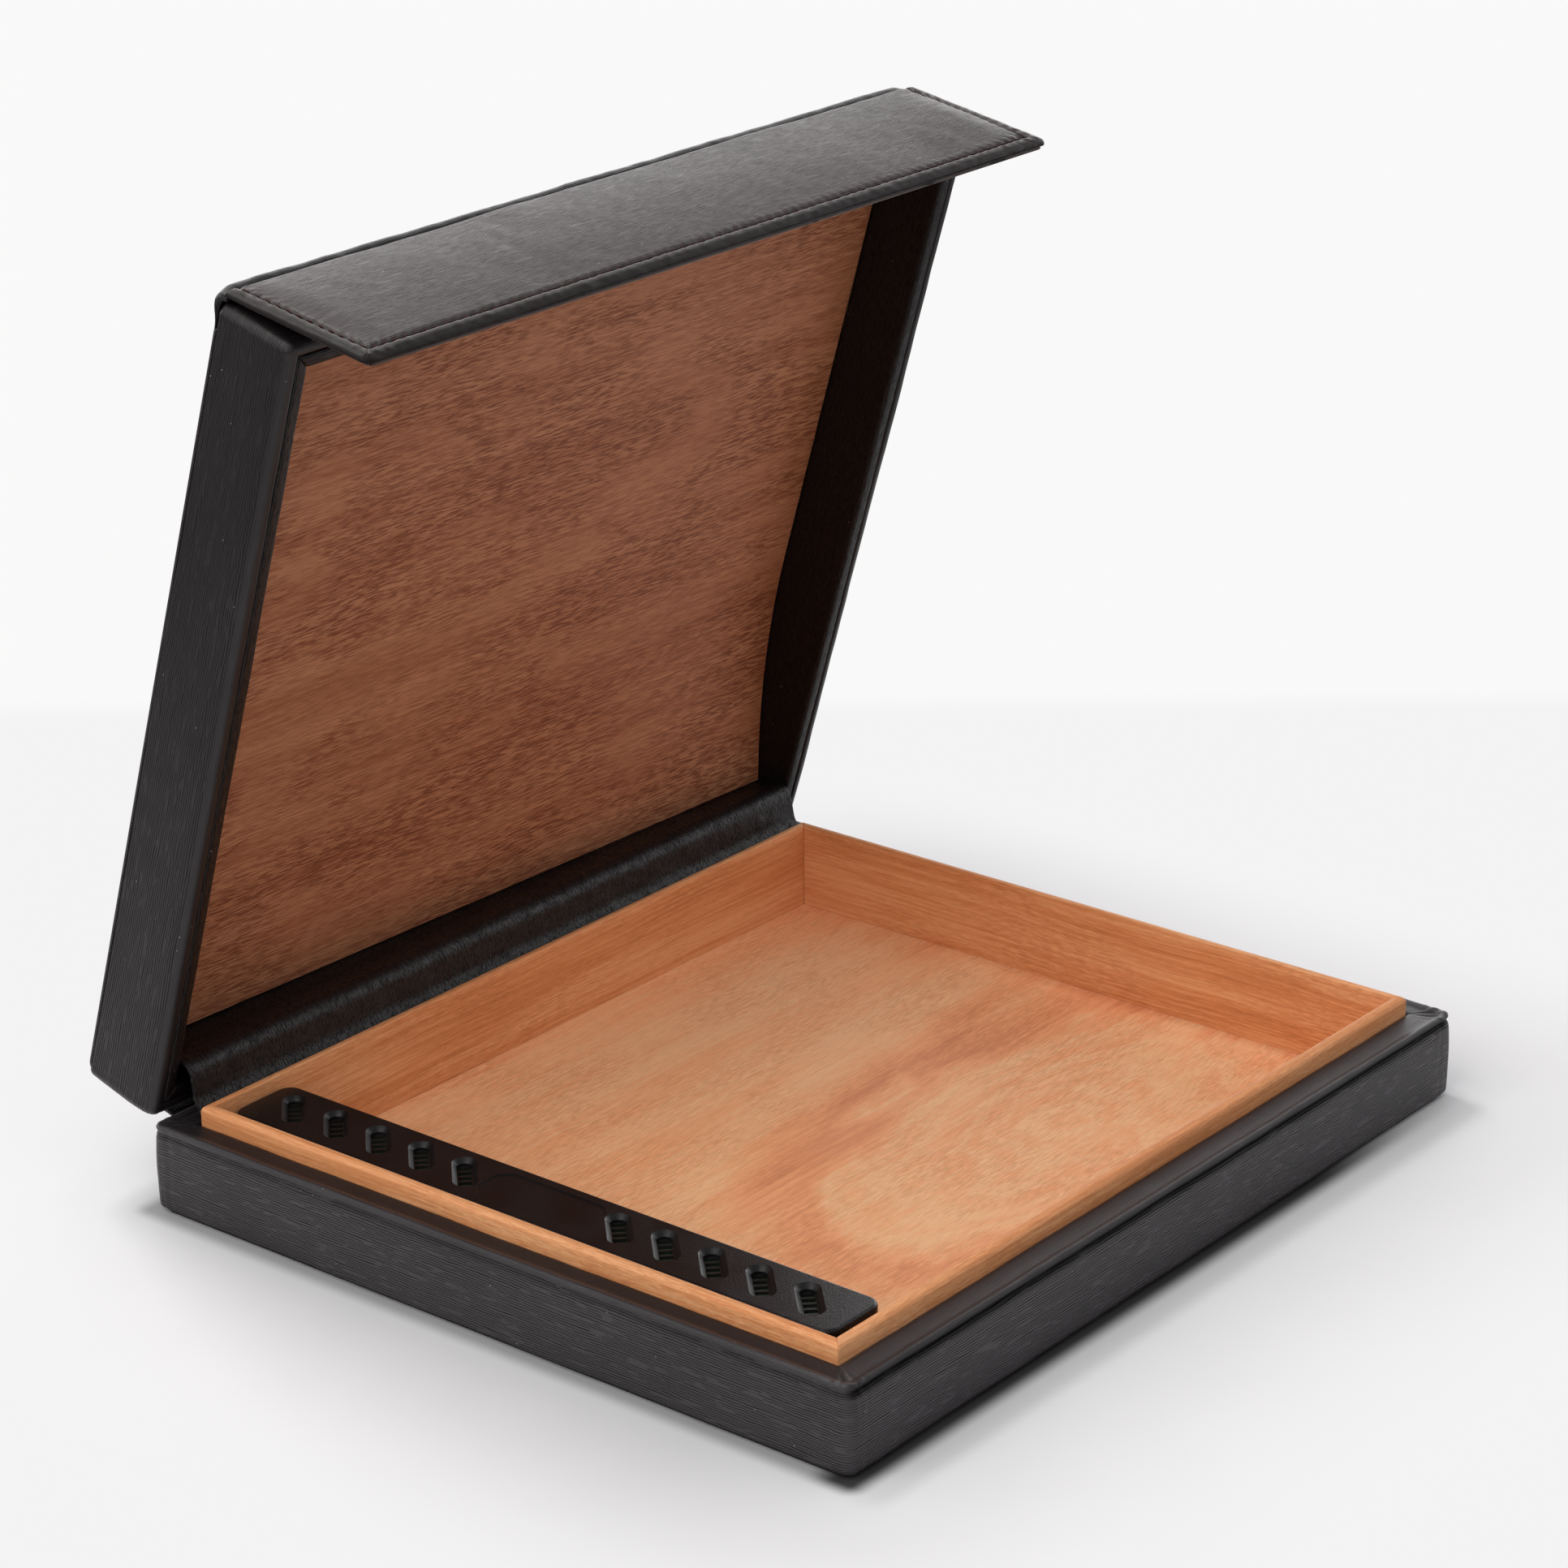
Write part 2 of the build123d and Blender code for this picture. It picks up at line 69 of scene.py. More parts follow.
# Point attributes that the leather reads.
GRAIN = "grain"
# The second marks painted shade: darkness laid on seams, folds, ledges and rolled edges.
PAINTED_SHADE = "painted_shade"
# A wave texture has a band every 20 radians, so this scale gives one band in a unit.
ONE_BAND = 2 * math.pi / 20
log = logging.getLogger("travel_humidor")

Array = np.ndarray


class Body(str, Enum):
    """The bodies that pieces ride on."""

    BASE = "base"
    LID = "lid"
    FLAP = "flap"
    HUMIDIFIER = "humidifier"


class Slot(str, Enum):
    """The record's material slots."""

    OUTER_LEATHER = "outer_leather"
    LINING_LEATHER = "lining_leather"
    CEDAR = "cedar"
    PLASTIC = "black_plastic"
    PADDING = "padding"


class Side(Enum):
    """The sides of a mitred frame, by the unit vector that points out of each."""

    FRONT = (0, -1)
    RIGHT = (1, 0)
    BACK = (0, 1)
    LEFT = (-1, 0)


# Shapes as arrays


def lattice_noise(points: Array, size: float, seed: int) -> Array:
    """Smooth noise in space.

    Every corner of a cubic lattice has a random height, and a point's value is the mean of the
    eight corners round it, weighted by smooth steps (3t^2 - 2t^3) of its place between them.

    Args:
        points: Places, with the coordinates on the last axis.
        size: The lattice's pitch, in the units of points.
        seed: Picks one lattice of heights.

    Returns:
        Values from -1 to 1, one for each point.
    """
    scaled = points / size + 1000.0
    cell = np.floor(scaled).astype(np.int64)
    step = scaled - cell
    step = step * step * (3 - 2 * step)
    total = np.zeros(points.shape[:-1])
    for corner in itertools.product((0, 1), repeat=3):
        offset = np.array(corner)
        key = (cell + offset) @ np.array([73856093, 19349663, 83492791]) + seed * 265443
        key = ((key ^ (key >> 13)) * 1274126177) & 0xFFFFFFFF
        key = ((key ^ (key >> 15)) * 2246822519) & 0xFFFFFFFF
        height = ((key ^ (key >> 14)) & 0xFFFF) / 0xFFFF
        total += height * np.prod(np.where(offset, step, 1 - step), axis=-1)
    return 2 * total - 1


def smooth_curve(points: list[tuple[float, float]], steps: int) -> Array:
    """A smooth open curve through points.

    Between two points it is the cubic of a Catmull-Rom spline, whose slope at each point is half
    the step between that point's neighbours.

    Args:
        points: The points it passes through.
        steps: How many samples each span gets.

    Returns:
        Samples as an array of (x, y) rows.
    """
    knots = np.array(points, float)
    padded = np.vstack([2 * knots[0] - knots[1], knots, 2 * knots[-1] - knots[-2]])
    t = np.linspace(0, 1, steps, endpoint=False)[:, None]
    spans = []
    for before, here, after, last in zip(padded, padded[1:], padded[2:], padded[3:]):
        slope_here = (after - before) / 2
        slope_after = (last - here) / 2
        spans.append(
            here * (2 * t**3 - 3 * t**2 + 1)
            + slope_here * (t**3 - 2 * t**2 + t)
            + after * (3 * t**2 - 2 * t**3)
            + slope_after * (t**3 - t**2)
        )
    return np.vstack(spans + [knots[-1:]])


def curve_length(points: Array) -> Array:
    """Distance along a line of points, from its first one."""
    steps = np.linalg.norm(np.diff(points, axis=0), axis=-1)
    return np.concatenate([[0.0], np.cumsum(steps)])


def window(distance: Array, reach: float) -> Array:
    """A smooth bump, 1 at distance 0 and 0 past reach: the square of 1 - (d / reach)^2."""
    return np.clip(1 - (distance / reach) ** 2, 0, None) ** 2


def filleted(points: list[tuple[float, float]], radii: list[float], spacing: float) -> Array:
    """A line of straight runs whose corners are arcs.

    Each arc starts radius * tan(turn / 2) before its corner, and its points lie on the circle
    that touches both runs there.

    Args:
        points: The corners and the two ends.
        radii: The radius at each corner.
        spacing: Distance between samples.

    Returns:
        Samples at even distances along the line.
    """
    knots = np.array(points, float)
    line = [knots[:1]]
    for before, corner, after, radius in zip(knots, knots[1:], knots[2:], radii):
        inward = (before - corner) / np.linalg.norm(before - corner)
        outward = (after - corner) / np.linalg.norm(after - corner)
        half_angle = math.acos(np.clip(inward @ outward, -1, 1)) / 2
        middle = (inward + outward) / np.linalg.norm(inward + outward)
        centre = corner + middle * radius / math.sin(half_angle)
        start = corner + inward * radius / math.tan(half_angle) - centre
        end = corner + outward * radius / math.tan(half_angle) - centre
        share = np.linspace(0, 1, 24)[:, None]
        sweep = math.pi - 2 * half_angle
        weights = np.sin((1 - share) * sweep) * start + np.sin(share * sweep) * end
        line.append(centre + weights / math.sin(sweep))
    line.append(knots[-1:])
    return resampled(np.vstack(line), spacing)


def resampled(line: Array, spacing: float) -> Array:
    """The same line with its points at even distances.

    Args:
        line: The line's points.
        spacing: About how far apart the new points lie.

    Returns:
        The new points, from end to end.
    """
    distance = curve_length(line)
    even = np.linspace(0, distance[-1], max(int(distance[-1] / spacing), 2) + 1)
    return np.stack([np.interp(even, distance, axis) for axis in line.T], axis=1)


def grid_normals(points: Array, wrap_u: bool) -> Array:
    """Unit normals of a grid surface: the steps along its rows crossed with those across.

    Args:
        points: The grid, with the coordinates on its last axis.
        wrap_u: Whether the last row joins the first.

    Returns:
        A unit vector for each point.
    """
    if wrap_u:
        along = np.roll(points, -1, axis=0) - np.roll(points, 1, axis=0)
    else:
        along = np.gradient(points, axis=0)
    normal = np.cross(along, np.gradient(points, axis=1))
    return normal / np.maximum(np.linalg.norm(normal, axis=-1, keepdims=True), 1e-9)


@dataclass(frozen=True)
class LocalFrame:
    """A right-handed frame of its own, in millimetres, for pieces that stand at an angle."""

    origin: Array
    y_axis: Array
    z_axis: Array

    @property
    def axes(self) -> Array:
        """The three unit axes as rows. X always runs along the hinge."""
        return np.array([[1.0, 0.0, 0.0], self.y_axis, self.z_axis])

    def to_row(self, points: Array) -> Array:
        """Points of this frame in the shared frame, in metres."""
        return (np.asarray(points) @ self.axes + self.origin) * MM


def joint_of(name: str) -> dict:
    """The record's joint of that name."""
    return next(joint for joint in frame["joints"] if joint["name"] == name)


def turned_frame(joint: str, y_axis: Array, z_axis: Array, angle: float) -> LocalFrame:
    """A frame at a hinge, turned about X.

    Args:
        joint: The hinge whose place is the origin.
        y_axis: The Y axis before the turn.
        z_axis: The Z axis before the turn.
        angle: The turn in degrees, from z_axis towards y_axis.

    Returns:
        The turned frame.
    """
    turn = math.radians(angle)
    new_y = y_axis * math.cos(turn) - z_axis * math.sin(turn)
    new_z = z_axis * math.cos(turn) + y_axis * math.sin(turn)
    return LocalFrame(np.array(joint_of(joint)["pos_m"]) / MM, new_y, new_z)


BASE_FRAME = LocalFrame(np.zeros(3), np.array([0.0, 1.0, 0.0]), np.array([0.0, 0.0, 1.0]))
# How far the lid stands open, in degrees from shut.
LID_OPEN = -joint_of("lid_hinge")["range_deg"][0]
# In the lid's frame Y runs to the hinge, which is its origin, and Z from the rim to the lid's top.
LID_FRAME = turned_frame("lid_hinge", BASE_FRAME.y_axis, BASE_FRAME.z_axis, LID_OPEN)
# In the flap's frame Y runs from its tip to its fold, and Z out of its padded face.
FLAP_FRAME = turned_frame(
    "flap_hinge", LID_FRAME.z_axis, -LID_FRAME.y_axis, -joint_of("flap_hinge")["range_deg"][0]
)


# Meshes from arrays


def make_surface(
    name: str,
    points: Array,
    uv: Array,
    wrap_u: bool = False,
    wrap_v: bool = False,
    grain: Array | None = None,
    painted_shade: Array | None = None,
) -> bpy.types.Object:
    """A closed mesh from a grid of points.

    Cell (i, j) of the grid is a quad on points i, i + 1 and j, j + 1. Points that meet are
    merged, open ends are filled, and the faces are turned outwards.

    Args:
        name: The piece's name.
        points: Grid of points in metres, of shape (rows, columns, 3).
        uv: Grid of texture places in metres, one row or column more where the grid wraps.
        wrap_u: Whether the last row joins the first.
        wrap_v: Whether the last column joins the first.
        grain: How strongly the leather's grain shows at each point, 0 to 1.
        painted_shade: Painted shade at each point, 0 to 1: darkness on seams, folds and edges.

    Returns:
        The new object, in the scene.
    """
    rows, columns = points.shape[:2]
    i = np.arange(rows if wrap_u else rows - 1)[:, None]
    j = np.arange(columns if wrap_v else columns - 1)[None, :]
    corners = ((0, 0), (1, 0), (1, 1), (0, 1))
    faces = np.stack(
        [((i + a) % rows) * columns + (j + b) % columns for a, b in corners], axis=-1
    )
    face_uv = np.stack([uv[i + a, j + b] for a, b in corners], axis=2)
    mesh = bpy.data.meshes.new(name)
    mesh.from_pydata(points.reshape(-1, 3), [], faces.reshape(-1, 4))
    layer = mesh.uv_layers.new(name="UVMap")
    layer.data.foreach_set("uv", face_uv.reshape(-1).astype(np.float32))
    shape = points.shape[:2]
    shown = np.ones(shape) if grain is None else np.broadcast_to(grain, shape)
    # How much painted shade each point gets.
    shade_amount = np.zeros(shape) if painted_shade is None else np.broadcast_to(painted_shade, shape)
    for label, values in ((GRAIN, shown), (PAINTED_SHADE, shade_amount)):
        marks = mesh.attributes.new(label, "FLOAT", "POINT")
        marks.data.foreach_set("value", values.reshape(-1).astype(np.float32))
    return finish_mesh(name, mesh)


def finish_mesh(name: str, mesh: bpy.types.Mesh, weld: float = 1e-6) -> bpy.types.Object:
    """Closes a mesh, turns its faces outwards and puts it in the scene.

    Args:
        name: The piece's name.
        mesh: The mesh to finish.
        weld: Points nearer than this, in metres, become one.

    Returns:
        The new object, smooth shaded.
    """
    work = bmesh.new()
    work.from_mesh(mesh)
    bmesh.ops.remove_doubles(work, verts=work.verts, dist=weld)
    bmesh.ops.dissolve_degenerate(work, edges=work.edges, dist=weld / 2)
    rims = [edge for edge in work.edges if edge.is_boundary]
    if rims:
        bmesh.ops.holes_fill(work, edges=rims, sides=0)
    bmesh.ops.recalc_face_normals(work, faces=work.faces)
    for face in work.faces:
        face.smooth = True
    work.to_mesh(mesh)
    work.free()
    piece = bpy.data.objects.new(name, mesh)
    bpy.context.scene.collection.objects.link(piece)
    return piece


def dress(piece: bpy.types.Object, material: bpy.types.Material) -> None:
    """Gives a piece that material alone."""
    piece.data.materials.clear()
    piece.data.materials.append(material)


def settle(
    piece: bpy.types.Object, body: Body, slot: Slot, material: bpy.types.Material, *nodes: str
) -> None:
    """Gives a piece its material and body, and hides the CAD nodes that it replaces.

    Args:
        piece: The finished piece.
        body: The body that it rides on.
        slot: Not used.
        material: Its material.
        *nodes: The CAD nodes that it replaces.
    """
    dress(piece, material)
    if "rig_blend" not in piece:
        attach(piece, body.value)
    if nodes:
        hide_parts(*nodes)
    log.info("%s on %s, %d faces", piece.name, body.value, len(piece.data.polygons))


@dataclass(frozen=True)
class RoundedPath:
    """A way round a rounded rectangle, as places on the unit square and outward normals.

    A point of the loop is its place on the square, stretched to the rectangle inside the corner
    arcs, plus the corner radius times the normal there.
    """

    half_x: float
    half_y: float
    corner: float
    fine: float = 0.3
    coarse: float = 1.6
    reach: float = 14.0
    corner_steps: int = 18

    def trace(self) -> tuple[Array, Array, Array]:
        """Walks round the loop once, starting at the right end of the back side.

        Returns:
            Places on the unit square, normals, and distance along the loop with one value more
            than there are points.
        """
        places, normals, sizes = [], [], (self.half_x, self.half_y)
        for side in range(4):
            heading = math.pi / 2 * (side + 1)
            out = np.array([math.cos(heading), math.sin(heading)])
            along = np.array([-out[1], out[0]])
            steps = self.side_steps(2 * (sizes[side % 2] - self.corner))
            places.append(out + steps[:-1, None] * along)
            normals.append(np.repeat(out[None], len(steps) - 1, axis=0))
            turn = np.linspace(0, math.pi / 2, self.corner_steps, endpoint=False) + heading
            places.append(np.repeat((out + along)[None], self.corner_steps, axis=0))
            normals.append(np.stack([np.cos(turn), np.sin(turn)], axis=1))
        place, normal = np.vstack(places), np.vstack(normals)
        inner = np.array([self.half_x - self.corner, self.half_y - self.corner])
        loop = place * inner + normal * self.corner
        return place, normal, curve_length(np.vstack([loop, loop[:1]]))

    def side_steps(self, length: float) -> Array:
        """Steps from -1 to 1 along a side, fine near its ends and coarse in its middle.

        The spacing at distance d from the nearer end is fine + (coarse - fine) * s, where s is a
        smooth step that reaches 1 at the reach.

        Args:
            length: The side's length.

        Returns:
            The steps, both ends among them.
        """
        near = np.linspace(0, length, 2000)
        share = np.clip(np.minimum(near, length - near) / self.reach, 0, 1)
        share = share * share * (3 - 2 * share)
        density = 1 / (self.fine + (self.coarse - self.fine) * share)
        total = np.concatenate([[0], np.cumsum((density[1:] + density[:-1]) / 2)])
        count = int(total[-1] * (near[1] - near[0])) + 2
        even = np.linspace(0, total[-1], count)
        return np.interp(even, total, near) / length * 2 - 1


@dataclass(frozen=True)
class Insets:
    """How far in from its outer wall a frame's inner edge lies, on its sides, front and back.

    Near the wall all three are alike. Past start they part in proportion, so that they reach
    their own inner edges together.
    """

    side: float
    front: float
    back: float
    start: float = 3.0

    def spread(self, inset: Array) -> tuple[Array, Array]:
        """Works out the other sides' insets.

        Args:
            inset: Insets at the left and right sides.

        Returns:
            The insets at the front and at the back that go with them.
        """
        share = np.clip(inset - self.start, 0, None) / (self.side - self.start)
        front = inset + share * (self.front - self.side)
        back = inset + share * (self.back - self.side)
        return front, back


def rumpled(points: Array, layers: list[tuple[float, float, int]]) -> Array:
    """A soft surface's unevenness at each point: a sum of noises of a size, height and seed."""
    return sum(height * lattice_noise(points, size, seed) for size, height, seed in layers)


# Finishes


def linear(colour: str) -> tuple[float, float, float, float]:
    """A screen colour in linear values, where a channel c is ((c + 0.055) / 1.055) ^ 2.4."""
    channels = [int(colour[i : i + 2], 16) / 255 for i in (1, 3, 5)]
    return (*(((c + 0.055) / 1.055) ** 2.4 for c in channels), 1.0)


class Coordinates(str, Enum):
    """What a pattern lies on: the object's own space, or the surface's own map."""

    OBJECT = "Object"
    SURFACE = "UV"


class Graph:
    """A tree of shader nodes, each added with its inputs in one call."""

    def __init__(self, tree: bpy.types.NodeTree) -> None:
        """Works on that tree."""
        self.tree = tree

    def node(self, kind: str, inputs: dict, **settings: object) -> bpy.types.Node:
        """Adds a node.

        Args:
            kind: The node's type, without the ShaderNode in front.
            inputs: Sockets to link or values to set, by the input's name or number.
            **settings: The node's own settings.

        Returns:
            The new node.
        """
        made = self.tree.nodes.new("ShaderNode" + kind)
        for key, value in settings.items():
            setattr(made, key, value)
        for key, value in inputs.items():
            if isinstance(value, bpy.types.NodeSocket):
                self.tree.links.new(value, made.inputs[key])
            else:
                made.inputs[key].default_value = value
        return made

    def place(
        self,
        on: "Coordinates | bpy.types.NodeSocket",
        scale: tuple[float, float, float],
        turn: tuple[float, float, float] = (0.0, 0.0, 0.0),
        shift: tuple[float, float, float] = (0.0, 0.0, 0.0),
    ) -> bpy.types.NodeSocket:
        """Pattern coordinates.

        Args:
            on: The coordinates to start from, in metres, or a socket that gives them.
            scale: Pattern units in a millimetre along each axis.
            turn: Turns about each axis in degrees, before the scale.
            shift: Moves the pattern, in pattern units.

        Returns:
            The mapped coordinates.
        """
        source = self.node("TexCoord", {}).outputs[on.value] if isinstance(on, Coordinates) else on
        turned = self.node(
            "Mapping", {"Vector": source, "Rotation": tuple(math.radians(a) for a in turn)}
        )
        mapping = {
            "Vector": turned.outputs[0],
            "Scale": tuple(s / MM for s in scale),
            "Location": shift,
        }
        return self.node("Mapping", mapping).outputs[0]

    def noise(
        self,
        place: bpy.types.NodeSocket,
        detail: float = 2.0,
        roughness: float = 0.5,
        distortion: float = 0.0,
    ) -> bpy.types.NodeSocket:
        """Smooth noise with features of about one pattern unit.

        Args:
            place: Pattern coordinates.
            detail: How many finer layers it has.
            roughness: How strong the finer layers are.
            distortion: How far it bends itself.

        Returns:
            Values of about 0.5 on average.
        """
        inputs = {
            "Vector": place, "Scale": 1.0, "Detail": detail,
            "Roughness": roughness, "Distortion": distortion,
        }
        return self.node("TexNoise", inputs).outputs[0]

    def spread(
        self, value: bpy.types.NodeSocket, low: float, high: float, to: tuple = (0.0, 1.0)
    ) -> bpy.types.NodeSocket:
        """Maps low..high to the two values of to by a smooth step, and holds it outside."""
        inputs = {0: value, 1: low, 2: high, 3: to[0], 4: to[1]}
        return self.node("MapRange", inputs, interpolation_type="SMOOTHSTEP").outputs[0]

    def sum(self, operation: str, first: object, second: object) -> bpy.types.NodeSocket:
        """One arithmetic step, such as ADD or MULTIPLY, on sockets or numbers."""
        return self.node("Math", {0: first, 1: second}, operation=operation).outputs[0]

    def vector(self, operation: str, *inputs: object) -> bpy.types.NodeSocket:
        """One step of vector arithmetic, such as ADD or LENGTH, on sockets or vectors."""
        made = self.node("VectorMath", dict(enumerate(inputs)), operation=operation)
        return made.outputs["Value" if operation in ("LENGTH", "DOT_PRODUCT") else "Vector"]

    def tint(self, share: object, first: object, second: object) -> bpy.types.NodeSocket:
        """A colour on the way from first to second, by share."""
        made = self.node("Mix", {0: share, 6: first, 7: second}, data_type="RGBA")
        return made.outputs[2]

    def relief(
        self,
        height: bpy.types.NodeSocket,
        depth: float,
        under: bpy.types.NodeSocket | None = None,
    ) -> bpy.types.NodeSocket:
        """Bump from a height.

        Args:
            height: The height, 0 to 1.
            depth: How many millimetres a height of 1 stands for.
            under: The normal to lay it over.

        Returns:
            The bumped normal.
        """
        inputs = {"Height": height, "Strength": 1.0, "Distance": depth * MM}
        if under:
            inputs["Normal"] = under
        return self.node("Bump", inputs).outputs[0]


class Palette(Graph):
    """A material's graph round its one shader."""

    def __init__(self, name: str) -> None:
        """Starts a material with a plain shader.

        Args:
            name: The material's name.
        """
        self.material = bpy.data.materials.new(name)
        self.material.use_nodes = True
        super().__init__(self.material.node_tree)
        self.shader = self.tree.nodes["Principled BSDF"]

    def paint(self, **sockets: object) -> bpy.types.Material:
        """Links or sets the shader's inputs.

        Args:
            **sockets: Sockets or values by the input's name, with underscores for spaces.

        Returns:
            The material.
        """
        for key, value in sockets.items():
            target = self.shader.inputs[key.replace("_", " ")]
            if isinstance(value, bpy.types.NodeSocket):
                self.tree.links.new(value, target)
            else:
                target.default_value = value
        return self.material


@dataclass(frozen=True)
class Leather:
    """Pressed cow leather: wavy broken grooves that run one way, crinkles and fine pores."""

    name: str
    ridge: str
    groove: str
    on: Coordinates = Coordinates.SURFACE
    grain_length: float = 12.0
    grain_pitch: float = 0.64
    waviness: float = 5.5
    crinkle: float = 0.2
    depth: float = 0.1
    pore_share: float = 0.12
    gloss: float = 0.4
    specular: float = 0.45
    sunken_shine: float = 0.45
    dust: float = 0.8
    turn: tuple[float, float, float] = (0.0, 0.0, 0.0)

    def laid(self, mix: Palette, along: float, across: float) -> bpy.types.NodeSocket:
        """Coordinates with that many pattern units in a millimetre along and across the grain."""
        return mix.place(self.on, (along, across, across), self.turn)

    def marks(self, mix: Palette, name: str) -> bpy.types.NodeSocket:
        """The surface's own point attribute of that name."""
        return mix.node("Attribute", {}, attribute_name=name).outputs["Fac"]

    def height(self, mix: Palette) -> bpy.types.NodeSocket:
        """The pressed surface.

        The grooves are the troughs of evenly spaced bands that a stretched noise bends. A second
        noise fills them up here and there, a third lays crinkles between them, and pores lie
        over all of it. Where the grain fades the height nears an even 0.7.

        Args:
            mix: The material's graph.

        Returns:
            Heights from 0 to 1.
        """
        across = ONE_BAND / self.grain_pitch
        bands = mix.node(
            "TexWave",
            {"Vector": self.laid(mix, 1 / self.grain_length, across), "Scale": 1.0,
             "Distortion": self.waviness, "Detail": 2.0, "Detail Scale": 0.8,
             "Detail Roughness": 0.45},
            wave_type="BANDS", bands_direction="Y", wave_profile="SIN",
        ).outputs["Fac"]
        breaks = mix.noise(self.laid(mix, 1.4 / self.grain_length, 0.7), 2.0, 0.5, 0.4)
        ridges = mix.sum("MAXIMUM", mix.spread(bands, 0.08, 0.5), mix.spread(breaks, 0.54, 0.7))
        fine = self.laid(mix, 4.0 / self.grain_length, 1.1 / self.grain_pitch)
        crinkles = mix.spread(mix.noise(fine, 3.0, 0.6, 0.5), 0.38, 0.6, (0.0, self.crinkle))
        ridges = mix.sum("ADD", mix.sum("MULTIPLY", ridges, 1.0 - self.crinkle), crinkles)
        pores = mix.noise(self.laid(mix, 1.2, 3.0), 2.0)
        ridges = mix.sum("MULTIPLY", ridges, 1.0 - self.pore_share)
        height = mix.sum("ADD", ridges, mix.sum("MULTIPLY", pores, self.pore_share))
        if self.on == Coordinates.OBJECT:
            return height
        shown = self.marks(mix, GRAIN)
        smooth = mix.sum("MULTIPLY", mix.sum("SUBTRACT", 1.0, shown), 0.7)
        return mix.sum("ADD", mix.sum("MULTIPLY", height, shown), smooth)

    def material(self) -> bpy.types.Material:
        """Builds the material.

        A broad unevenness tints it, and sparse specks of dust lie on top. Grooves are dull as well as
        dark. Painted shade from the surface's attribute darkens and dulls it where shade falls.

        Returns:
            The material.
        """
        mix = Palette(self.name)
        height = self.height(mix)
        raised = mix.spread(height, 0.15, 0.8)
        colour = mix.tint(raised, linear(self.groove), linear(self.ridge))
        broad = mix.noise(self.laid(mix, 0.03, 0.06), 3.0)
        colour = mix.tint(mix.spread(broad, 0.4, 0.7, (0.0, 0.25)), colour, linear(self.groove))
        cells = mix.node(
            "TexVoronoi", {"Vector": mix.place(self.on, (0.2, 0.2, 0.2)), "Scale": 1.0}
        ).outputs[0]
        colour = mix.tint(
            mix.spread(cells, 0.02, 0.035, (self.dust, 0.0)), colour, linear("#a9a6a4")
        )
        dull = self.sunken_shine * self.specular
        shine = mix.spread(raised, 0.0, 1.0, (dull, self.specular))
        if self.on == Coordinates.SURFACE:
            # Painted shade: the surface's attribute darkens the colour towards #020202 and dulls the shine.
            shade_amount = self.marks(mix, PAINTED_SHADE)
            colour = mix.tint(shade_amount, colour, linear("#020202"))
            shine = mix.sum("MULTIPLY", shine, mix.sum("SUBTRACT", 1.0, shade_amount))
        return mix.paint(
            Base_Color=colour, Specular_IOR_Level=shine, Normal=mix.relief(height, self.depth),
            Roughness=mix.spread(height, 0.1, 0.9, (self.gloss + 0.2, self.gloss)),
        )


